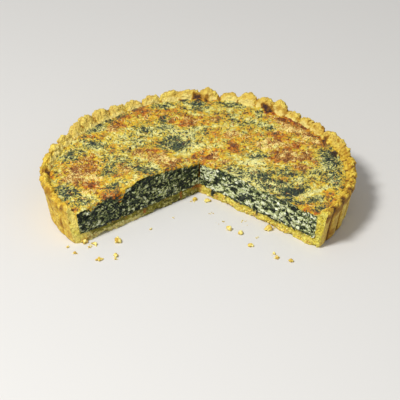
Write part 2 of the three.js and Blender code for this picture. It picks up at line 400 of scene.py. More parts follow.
cutCurds = {
    -1: [
        (26, 21, 1.2, 4.5, 0, 1.0), (27, 15, 1.4, 3, 0, 0.8), (5, 13.5, 3.4, 1.4, 20, 0.7),
        (13, 30, 4, 1.6, 10, 0.6), (64, 28, 2.6, 1.6, 20, 0.9), (58, 24, 4, 0.9, 15, 0.6),
        (83, 14, 2.4, 1.8, 20, 0.9), (73, 13, 2.4, 1.6, 20, 0.8), (105, 14, 1.6, 2.6, 0, 1.1),
        (95, 27, 2.4, 1.4, 0, 0.6), (92, 20, 1.4, 1.4, 0, 0.6), (44, 15, 3, 1.4, 25, 0.6),
        (48, 22, 2, 1, 30, 0.5), (2, 25, 1.6, 4, 0, 0.5), (113, 24, 3.4, 2, 20, 0.5),
        (78, 30, 3, 1.4, 0, 0.7), (51, 12, 2, 1, 20, 0.5), (97, 16, 1.6, 1.6, 0, 0.5),
    ],
    1: [
        (14, 21.5, 4, 3, 20, 1.3), (12, 17, 1.6, 3, 0, 0.9), (27, 18.5, 4, 1.6, 5, 1.2),
        (4, 16.5, 3, 1.6, 30, 0.6), (3, 25, 3, 1.4, 0, 0.6), (37, 13, 4, 1.4, 15, 1.0),
        (43, 16, 2.6, 1.6, 20, 0.8), (53, 13.5, 4, 1.0, 10, 1.1), (66, 12.5, 4, 1.4, 5, 0.9),
        (79, 13, 3, 1.6, 5, 1.4), (86, 24, 1.8, 2.4, 0, 1.0), (95, 23.5, 3, 1.8, 0, 1.0),
        (92, 17, 3, 1.0, 20, 1.0), (106, 15, 1.6, 1.6, 0, 0.8), (66, 28, 3.4, 2.4, 20, 0.9),
        (60, 30, 5, 1.4, 10, 0.5), (73, 19, 4, 1.0, 15, 0.6), (29, 25, 1.6, 2.4, 0, 0.7),
        (39, 30, 4, 1.0, 10, 0.4), (103, 23.5, 2, 1.2, 0, 0.9), (116, 14, 3, 2, 0, 0.5),
    ],
}
# Where the browned skin hangs down over the cut, or is missing: along, half width, how far down
skinTongues = {
    -1: [
        (82, 3, 8.5), (87, 4, 3), (112, 3, 4.5), (7, 4, 1), (58, 13, -1.0), (121, 3, -1.4), (97, 8, -0.5),
    ],
    1: [
        (12, 17, 0.8), (66, 3.4, 2.6), (90, 5, 0.6), (108, 5, 2.0), (118, 5, 1.0),
    ],
}


# The strongest of the listed soft ovals at each place
def ovalsAt(ovals, a, b):
    found = np.zeros(len(a))
    for atA, atB, halfA, halfB, slant, strength in ovals:
        near = np.abs(a - atA) < 3 * max(halfA, halfB)
        c, s = math.cos(math.radians(slant)), math.sin(math.radians(slant))
        u = ((a[near] - atA) * c + (b[near] - atB) * s) / halfA
        v = ((b[near] - atB) * c - (a[near] - atA) * s) / halfB
        found[near] = np.maximum(found[near], strength * np.exp(-0.8 * (u * u + v * v)))
    return found


def ovalsOnFaces(ovals, side, along, height):
    found = np.zeros(len(along))
    for which, own in ovals.items():
        onFace = side == which
        found[onFace] = ovalsAt(own, along[onFace], height[onFace])
    return found


# Chopped leaves and ricotta where the knife went through: 0 is near-black leaf, 1 is white curd
def palenessAt(along, height, side):
    look = fillingLook
    points = facePattern(along, height, side)
    drift = look["drift"] * layeredNoise(points, 9, 2, 3)
    squeeze = np.where(side > 0, look["squeeze"][1], look["squeeze"][-1])
    shreds = facePattern(along * squeeze + drift, height * 1.2 + drift, side)
    shreds = look["shreds"] * layeredNoise(shreds, look["shredSize"], 2, 5)
    specks = look["specks"] * softNoise(points, look["speckSize"], 7)
    patches = look["patches"] * softNoise(points, look["patchSize"], 9)
    pale = np.where(side > 0, look["paleness"][1], look["paleness"][-1])
    pale = pale + look["curds"] * ovalsOnFaces(cutCurds, side, along, height)
    pale = pale - look["leaves"] * ovalsOnFaces(cutLeaves, side, along, height)
    pale = pale + look["paleBelow"] * ramp(14 - height, 0, 4)
    return np.clip(pale + shreds + specks + patches, 0, 1)


def skinDepthAt(along, side):
    edge = layeredNoise(facePattern(along, np.zeros_like(along), side), 6, 3, 11)
    thick, uneven = fillingLook["skinThick"], fillingLook["skinUneven"]
    depth = np.where(side < 0, thick[-1] + uneven[-1] * edge, thick[1] + uneven[1] * edge)
    for which, tongues in skinTongues.items():
        for at, halfWidth, down in tongues:
            depth = depth + (side == which) * down * np.exp(-0.7 * ((along - at) / halfWidth) ** 2)
    return np.maximum(depth, 0.1)


# How far below the baked top a point of a knife face lies
def belowTop(along, height, side):
    spots = np.where((side < 0)[:, None], onKnifeFace(along, height, -1), onKnifeFace(along, height, 1))
    return topHeight(spots[:, 0], spots[:, 1]) - height


# Gentle waves of the knife, common to both reliefs
def knifeWaves(along, height, side):
    return cutShape["relief"] * lumps(along * side, height, cutShape["reliefSize"])


def fillingRelief(along, height, side):
    look = fillingLook
    which = np.full_like(along, side)
    pale = palenessAt(along, height, which)
    points = facePattern(along, height, which)
    chop = look["chop"] * layeredNoise(points, look["chopSize"], 2, 21)
    clods = look["clod"] * (pebbles(points, look["clodSize"], 23) - 0.45)
    relief = knifeWaves(along, height, side) + (pale - 0.35) + chop - clods
    below = belowTop(along, height, which)
    skin = 1 - ramp(below, skinDepthAt(along, which), skinDepthAt(along, which) + 0.7)
    crumbled = ramp(layeredNoise(points[:, [0, 2, 2]], 11, 2, 27), -0.1, 0.5) * (1 - ramp(below, 0, 4))
    return relief + look["skinProud"] * skin - look["crumbled"] * crumbled


def crustRelief(along, height, side):
    look = crustLook
    points = facePattern(along, height, np.full_like(along, side))
    crumbs = look["cutCrumb"] * (0.42 - pebbles(points, look["cutCrumbSize"], 31))
    uneven = look["cutUneven"] * layeredNoise(points, 5, 2, 35)
    ragged = ramp(layeredNoise(points[:, [0, 2, 2]], 9, 3, 33), -0.2, 0.45) * ramp(3.4 - height, 0, 2.8)
    rounded = 4.4 * ramp(along, 121, 131) ** 1.4 if side < 0 else 2.6 * ramp(along, 125, 133)
    return knifeWaves(along, height, side) + crumbs + uneven - look["cutRagged"] * ragged - rounded


# A tall prism with the wedge's outline, whose knife faces carry the given relief
def wedgeCutter(relief):
    reach, grid, apex = cutShape["reach"], cutShape["grid"], cutShape["apex"]
    steps = round(reach / grid)
    share = np.arange(steps + 1) / steps
    left = apex + np.outer(share[::-1], cutDirection(-1)) * reach
    right = apex + np.outer(share, cutDirection(1)) * reach
    far = np.array([[right[-1, 0], -2 * reach], [left[0, 0], -2 * reach]])
    outline = np.concatenate([left, right[1:], far])
    low, high = -cutShape["clearance"], caseShape["rimHeight"] + cutShape["clearance"]
    levels = round((high - low) / grid)
    mesh, level, turn = rolledGrid("cutter", levels + 1, len(outline))
    corner = np.round(turn * len(outline)).astype(int) % len(outline)
    points = np.column_stack([outline[corner], low + (high - low) * level / levels])
    for side in (-1, 1):
        onFace = (corner < steps) if side < 0 else (corner > steps) & (corner <= 2 * steps)
        along = np.abs(corner[onFace] - steps) * reach / steps
        shift = relief(along, points[onFace, 2], side) * np.minimum(1, along / cutShape["easeIn"])
        points[onFace, :2] += np.outer(shift, cutNormal(side))
    setPoints(mesh, points)
    closeSeams(mesh, fillEnds=True)
    return mesh


def nickCutter():
    high = caseShape["rimHeight"] + cutShape["clearance"] - nick["floor"]
    bm = bmesh.new()
    bmesh.ops.create_cube(bm, size=1)
    bmesh.ops.scale(bm, vec=(nick["length"], nick["width"], high), verts=bm.verts)
    farSide = [vert for vert in bm.verts if vert.co.x > 0]
    bmesh.ops.scale(bm, vec=(1, nick["farWidth"] / nick["width"], 1), verts=farSide)
    middle = (nick["length"] / 2 - nick["overlap"], 0, nick["floor"] + high / 2)
    bmesh.ops.translate(bm, vec=middle, verts=bm.verts)
    turned = Matrix.Rotation(math.radians(nick["deg"]), 3, "Z")
    bmesh.ops.rotate(bm, cent=(0, 0, 0), matrix=turned, verts=bm.verts)
    bmesh.ops.translate(bm, vec=(*cutShape["apex"], 0), verts=bm.verts)
    return meshOf(bm, "nick")


def combine(mesh, otherMesh, operation):
    target = bpy.data.objects.new("target", mesh)
    other = bpy.data.objects.new("other", otherMesh)
    for obj in (target, other):
        bpy.context.scene.collection.objects.link(obj)
    step = target.modifiers.new("combine", "BOOLEAN")
    step.operation = operation
    step.solver = "MANIFOLD"
    step.object = other
    bpy.context.view_layer.update()
    made = bpy.data.meshes.new_from_object(target.evaluated_get(bpy.context.evaluated_depsgraph_get()))
    made.materials.clear()
    for obj in (target, other):
        bpy.data.objects.remove(obj)
    return made


# For each vertex: the knife face it lies on, 0 for none, and how far along that face
def facesCut(points, relief):
    side = np.zeros(len(points))
    alongFace = np.zeros(len(points))
    offset = points[:, :2] - cutShape["apex"]
    for which in (-1, 1):
        along = offset @ cutDirection(which)
        depth = offset @ cutNormal(which)
        near = np.flatnonzero((np.abs(depth) < 5) & (along > -0.3))
        reach = relief(np.maximum(along[near], 0), points[near, 2], which)
        reach = reach * np.clip(along[near] / cutShape["easeIn"], 0, 1)
        near = near[np.abs(depth[near] - reach) < 0.3]
        side[near] = which
        alongFace[near] = along[near]
    return side, alongFace


def markCutFaces(mesh, side):
    corner = np.empty(len(mesh.loops), np.int32)
    mesh.loops.foreach_get("vertex_index", corner)
    start = np.empty(len(mesh.polygons), np.int32)
    mesh.polygons.foreach_get("loop_start", start)
    total = np.add.reduceat((side[corner] != 0).astype(float), start)
    count = np.diff(np.append(start, len(corner)))
    mesh.polygons.foreach_set("material_index", (total >= count - 0.5).astype(np.int32))
    mesh.update()


# Colours are given as they look in daylight and turned into the linear values that shaders take
def tint(red, green, blue):
    linear = [((c / 255 + 0.055) / 1.055) ** 2.4 if c > 10 else c / 255 / 12.92 for c in (red, green, blue)]
    return (*linear, 1.0)


def feed(tree, socket, value):
    if isinstance(value, bpy.types.NodeSocket):
        tree.links.new(value, socket)
    else:
        socket.default_value = value


# settings are the node's own settings, or values and links for its inputs
def addNode(tree, kind, at, **settings):
    node = tree.nodes.new(kind)
    node.location = at
    for key, value in settings.items():
        if hasattr(node, key):
            setattr(node, key, value)
        else:
            feed(tree, node.inputs[key], value)
    return node


def mixColors(tree, at, factor, first, second):
    node = addNode(tree, "ShaderNodeMix", at, data_type="RGBA")
    for index, value in ((0, factor), (6, first), (7, second)):
        feed(tree, node.inputs[index], value)
    return node.outputs[2]


# Further colours laid over one, each given as (share, colour)
def layColors(tree, at, color, layers):
    for index, (share, layer) in enumerate(layers):
        color = mixColors(tree, (at[0] + 160 * index, at[1]), share, color, layer)
    return color


def mapRange(tree, at, value, low, high):
    node = addNode(tree, "ShaderNodeMapRange", at, interpolation_type="SMOOTHSTEP")
    for index, setting in ((0, value), (1, low), (2, high)):
        feed(tree, node.inputs[index], setting)
    return node.outputs[0]


def calculate(tree, at, operation, *values):
    node = addNode(tree, "ShaderNodeMath", at, operation=operation)
    for index, value in enumerate(values):
        feed(tree, node.inputs[index], value)
    return node.outputs[0]


# stops are (place, colour) from left to right
def colorRamp(tree, at, value, stops):
    node = addNode(tree, "ShaderNodeValToRGB", at)
    elements = node.color_ramp.elements
    for place, _ in stops[2:]:
        elements.new(place)
    for element, (place, color) in zip(elements, stops):
        element.position = place
        element.color = color
    tree.links.new(value, node.inputs[0])
    return node.outputs[0]


def attributeOf(tree, at, name):
    return addNode(tree, "ShaderNodeAttribute", at, attribute_name=name).outputs["Fac"]


def placeOf(tree, at):
    return addNode(tree, "ShaderNodeTexCoord", at).outputs["Object"]


def addNoise(tree, at, place, scale, detail=2.0, roughness=0.5, distortion=0.0):
    settings = {"Scale": scale, "Detail": detail, "Roughness": roughness, "Distortion": distortion}
    return addNode(tree, "ShaderNodeTexNoise", at, Vector=place, **settings).outputs["Fac"]


# A node group that puts out a colour and one value, with its inputs' sockets and the piece's place
def newGroup(name, colors, floats, second="Height"):
    group = bpy.data.node_groups.new(name, "ShaderNodeTree")
    sockets = [(label, "INPUT", "Color") for label in colors]
    sockets += [(label, "INPUT", "Float") for label in floats]
    sockets += [("Color", "OUTPUT", "Color"), (second, "OUTPUT", "Float")]
    for label, way, kind in sockets:
        group.interface.new_socket(label, in_out=way, socket_type="NodeSocket" + kind)
    return group, addNode(group, "NodeGroupInput", (-1100, 0)).outputs, placeOf(group, (-1100, -300))


def endGroup(group, color, second):
    result = addNode(group, "NodeGroupOutput", (700, 0))
    group.links.new(color, result.inputs[0])
    group.links.new(second, result.inputs[1])
    return group


# Mottling that several foods share: three colours broken up at two sizes
def makeMottleGroup():
    group, given, place = newGroup("mottle", ("Light", "Middle", "Dark"), ("Scale", "Fine Scale"))
    broad = addNoise(group, (-650, 150), place, given["Scale"], 3.0, 0.6, 0.4)
    fine = addNoise(group, (-650, -150), place, given["Fine Scale"], 3.0, 0.65)
    color = layColors(group, (-100, 100), given["Middle"], [
        (mapRange(group, (-400, 150), broad, 0.42, 0.6), given["Light"]),
        (mapRange(group, (-400, -150), fine, 0.5, 0.68), given["Dark"]),
    ])
    return endGroup(group, color, calculate(group, (150, -250), "ADD", broad, fine))


# Browning in the oven, from pale custard to dark red-brown, and the cheese that browned on it
browningLook = {
    "custard": [
        (0.0, tint(248, 242, 158)), (0.22, tint(232, 208, 68)), (0.45, tint(238, 190, 30)),
        (0.68, tint(218, 128, 20)), (0.88, tint(170, 80, 20)), (1.0, tint(104, 50, 22)),
    ],
    "cheese": [(0.43, tint(112, 60, 28)), (0.495, tint(192, 134, 50)), (0.57, tint(250, 226, 134))],
}


def makeBrowningGroup():
    group, given, place = newGroup("browning", (), ("Baked", "Tan", "Cream"))
    fine = addNoise(group, (-850, 150), place, 400.0, 5.0, 0.72)
    streaks = addNoise(group, (-850, -150), place, 620.0, 3.0, distortion=1.0)
    clods = addNoise(group, (-850, -400), place, 230.0)
    crumbly = calculate(group, (-650, -300), "ADD", streaks, clods)
    crumbly = calculate(group, (-500, -300), "MULTIPLY_ADD", given["Cream"], 0.16, crumbly)
    crumbly = calculate(group, (-350, -300), "MULTIPLY", crumbly, 0.5)
    wander = calculate(group, (-650, 150), "MULTIPLY_ADD", fine, 1.8, -0.9)
    baked = calculate(group, (-450, 150), "ADD", wander, given["Baked"])
    custard = colorRamp(group, (-250, 150), baked, browningLook["custard"])
    cheese = colorRamp(group, (-200, -150), crumbly, browningLook["cheese"])
    color = mixColors(group, (250, 0), given["Tan"], custard, cheese)
    return endGroup(group, color, calculate(group, (250, -250), "ADD", fine, streaks))


# Finely chopped spinach that two surfaces share: Cover says how much of the surface it takes
choppedLook = {
    "covered": (0.65, 0.69),
    "colors": [
        (0.65, tint(168, 168, 92)), (0.68, tint(116, 128, 84)), (0.71, tint(64, 78, 62)),
        (0.78, tint(28, 38, 36)),
    ],
}


def makeChoppedGroup():
    group, given, place = newGroup("chopped", (), ("Cover",), "Share")
    flakes = addNoise(group, (-850, 150), place, 430.0, 4.0, 0.7, 0.9)
    specks = addNoise(group, (-850, -100), place, 1050.0, 2.0, 0.6)
    covered = calculate(group, (-600, 150), "MULTIPLY_ADD", given["Cover"], 0.2, flakes)
    covered = calculate(group, (-400, 100), "MULTIPLY_ADD", specks, 0.16, covered)
    share = mapRange(group, (-150, 100), covered, *choppedLook["covered"])
    return endGroup(group, colorRamp(group, (-150, -300), covered, choppedLook["colors"]), share)


mottle = makeMottleGroup()
browning = makeBrowningGroup()
chopped = makeChoppedGroup()


def newMaterial(name, roughness):
    material = bpy.data.materials.new(name)
    material.use_nodes = True
    tree = material.node_tree
    shader = tree.nodes["Principled BSDF"]
    shader.inputs["Roughness"].default_value = roughness
    return material, tree, shader


def addGroup(tree, at, group, values):
    node = addNode(tree, "ShaderNodeGroup", at, node_tree=group)
    for label, value in values.items():
        feed(tree, node.inputs[label], value)
    return node.outputs


def addMottle(tree, at, light, middle, darkSpotsAndShade, scale, fineScale):
    values = {"Light": light, "Middle": middle, "Dark": darkSpotsAndShade, "Scale": scale, "Fine Scale": fineScale}
    return addGroup(tree, at, mottle, values)


def addBrowning(tree, at):
    beside = (at[0] - 250, at[1])
    shares = {label: attributeOf(tree, beside, label.lower()) for label in ("Baked", "Tan", "Cream")}
    return addGroup(tree, at, browning, shares)


def addChopped(tree, at):
    return addGroup(tree, at, chopped, {"Cover": attributeOf(tree, (at[0] - 250, at[1]), "green")})


# Sandy grains of shortcrust for a bump, over another height
def addCrumbs(tree, at, height):
    place = placeOf(tree, (at[0] - 200, at[1]))
    grains = addNode(tree, "ShaderNodeTexVoronoi", at, Scale=560.0, Vector=place)
    return calculate(tree, (at[0] + 200, at[1]), "MULTIPLY_ADD", grains.outputs["Distance"], -0.4, height)


# Ends a material with its colour and with a bump of the given strength and distance
def setSurface(tree, shader, color, height, bump):
    strength, distance = bump
    node = addNode(tree, "ShaderNodeBump", (-150, -350), Strength=strength, Distance=distance, Height=height)
    tree.links.new(color, shader.inputs["Base Color"])
    tree.links.new(node.outputs["Normal"], shader.inputs["Normal"])


bakedLook = {
    "pale": tint(252, 222, 82), "gold": tint(226, 182, 42), "deep": tint(182, 130, 20),
    # the cream tint (255, 240, 150) is pale pastry and painted highlight
    "brown": tint(120, 80, 12), "charred": tint(70, 40, 28), "paleAndHighlight": tint(255, 240, 150),
    "mottle": (190.0, 620.0), "roughness": 0.6, "bump": (0.9, 0.002),
}


def bakedCrustMaterial():
    look = bakedLook
    material, tree, shader = newMaterial("bakedShortcrust", look["roughness"])
    base = addMottle(tree, (-900, 200), look["pale"], look["gold"], look["deep"], *look["mottle"])
    bake = attributeOf(tree, (-900, -100), "bake")
    color = layColors(tree, (-500, 250), base["Color"], [
        # pale pastry on the inner slope, with painted highlights on the flutes, the crest and the wall by the
        # left cut
        (attributeOf(tree, (-650, 350), "paleAndHighlight"), look["paleAndHighlight"]),
        (mapRange(tree, (-650, -50), bake, 0.3, 0.8), look["deep"]),
        (mapRange(tree, (-650, -250), bake, 0.8, 1.3), look["brown"]),
        (mapRange(tree, (-650, -450), bake, 1.35, 1.9), look["charred"]),
    ])
    setSurface(tree, shader, color, addCrumbs(tree, (-900, -400), base["Height"]), look["bump"])
    return material


crumbLook = {
    "pale": tint(252, 238, 112), "body": tint(226, 204, 60), "deep": tint(150, 118, 24),
    "soaked": tint(104, 98, 8), "soakedPale": tint(160, 154, 40), "straw": tint(238, 230, 146),
    # of these, tint (255, 232, 122) is painted light, and tint (52, 54, 24) also paints shade by the point
    "darkSpotsAndShade": tint(52, 54, 24), "orange": tint(170, 100, 34), "paintedLight": tint(255, 232, 122),
    "mottle": (300.0, 700.0), "soakedMottle": (260.0, 600.0), "roughness": 0.75, "bump": (0.9, 0.002),
}


def crumbMaterial():
    look = crumbLook
    material, tree, shader = newMaterial("shortcrustCrumb", look["roughness"])
    base = addMottle(tree, (-1100, 300), look["pale"], look["body"], look["deep"], *look["mottle"])
    pale, soaked = look["soakedPale"], look["soaked"]
    damp = addMottle(tree, (-1100, 50), pale, soaked, soaked, *look["soakedMottle"])
    layers = [(attributeOf(tree, (-1100, -150), "soaked"), damp["Color"])]
    # the layer for the left cut's wall and tip is painted light; the darkest layer holds spots, overhanging
    # leaves and painted shade by the point
    for index, kind in enumerate(("paintedLight", "straw", "darkSpotsAndShade", "orange")):
        layers.append((attributeOf(tree, (-1100, -300 - 150 * index), kind), look[kind]))
    color = layColors(tree, (-750, 100), base["Color"], layers)
    setSurface(tree, shader, color, addCrumbs(tree, (-900, -800), base["Height"]), look["bump"])
    return material


topLook = {
    "leaf": tint(34, 46, 42), "leafLight": tint(84, 98, 70), "leafEdge": tint(144, 144, 72),
    "stain": tint(214, 212, 108), "burnt": tint(58, 32, 22), "mottle": (480.0, 900.0), "roughness": 0.4,
    "bump": (0.7, 0.0022),
}


def bakedTopMaterial():
    look = topLook
    material, tree, shader = newMaterial("brownedTop", look["roughness"])
    baked = addBrowning(tree, (-1300, 300))
    flecks = addChopped(tree, (-1300, 0))
    leafy = addMottle(tree, (-1300, -250), look["leafLight"], look["leaf"], look["leaf"], *look["mottle"])
    leaf = attributeOf(tree, (-1300, -550), "leaf")
    green = attributeOf(tree, (-1300, -750), "green")
    color = layColors(tree, (-900, 200), baked["Color"], [
        (calculate(tree, (-1050, -150), "MULTIPLY", green, 0.5), look["stain"]),
        (mapRange(tree, (-1050, -350), leaf, 0.0, 0.55), look["leafEdge"]),
        (flecks["Share"], flecks["Color"]),
        (mapRange(tree, (-1050, -600), leaf, 0.35, 0.9), leafy["Color"]),
        (attributeOf(tree, (-600, -200), "burnt"), look["burnt"]),
    ])
    height = calculate(tree, (-500, -400), "MULTIPLY_ADD", flecks["Share"], 0.12, baked["Height"])
    setSurface(tree, shader, color, height, look["bump"])
    return material


insideLook = {
    "colors": [
        (0.14, tint(14, 24, 16)), (0.28, tint(44, 60, 34)), (0.42, tint(114, 126, 66)),
        (0.58, tint(180, 186, 116)), (0.8, tint(242, 245, 210)),
    ],
    "roughness": 0.4, "specular": 0.25, "bump": (0.8, 0.0022),
}


# From near-black leaf to white curd; the browned skin at its top edge takes the top's own colours
def insideMaterial():
    look = insideLook
    material, tree, shader = newMaterial("ricottaSpinachCut", look["roughness"])
    shader.inputs["Specular IOR Level"].default_value = look["specular"]
    place = placeOf(tree, (-1700, 200))
    coarse = addNoise(tree, (-1500, 350), place, 300.0, 4.0, 0.7, 0.7)
    fine = addNoise(tree, (-1500, 50), place, 800.0, 3.0, distortion=0.8)
    wander = calculate(tree, (-1250, 350), "MULTIPLY_ADD", coarse, 2.8, -2.05)
    wander = calculate(tree, (-1050, 250), "MULTIPLY_ADD", fine, 1.3, wander)
    pale = calculate(tree, (-850, 200), "ADD", wander, attributeOf(tree, (-1250, 0), "pale"))
    baked = addBrowning(tree, (-1100, -300))
    flecks = addChopped(tree, (-1100, -550))
    skin = mixColors(tree, (-700, -300), flecks["Share"], baked["Color"], flecks["Color"])
    color = colorRamp(tree, (-700, 200), pale, look["colors"])
    color = mixColors(tree, (-300, 100), attributeOf(tree, (-500, -100), "skin"), color, skin)
    setSurface(tree, shader, color, calculate(tree, (-500, -500), "ADD", coarse, fine), look["bump"])
    return material


# For scattered pieces: a colour by each copy's own tone, a little uneven over the copy
def toneMaterial(name, look):
    material, tree, shader = newMaterial(name, look["roughness"])
    fine = addNoise(tree, (-700, 200), placeOf(tree, (-900, 200)), look["grain"])
    wander = calculate(tree, (-500, 200), "MULTIPLY_ADD", fine, 0.4, -0.2)
    tone = calculate(tree, (-350, 200), "ADD", wander, attributeOf(tree, (-700, 0), "tone"))
    setSurface(tree, shader, colorRamp(tree, (-150, 200), tone, look["colors"]), fine, (0.5, 0.0006))
    return material


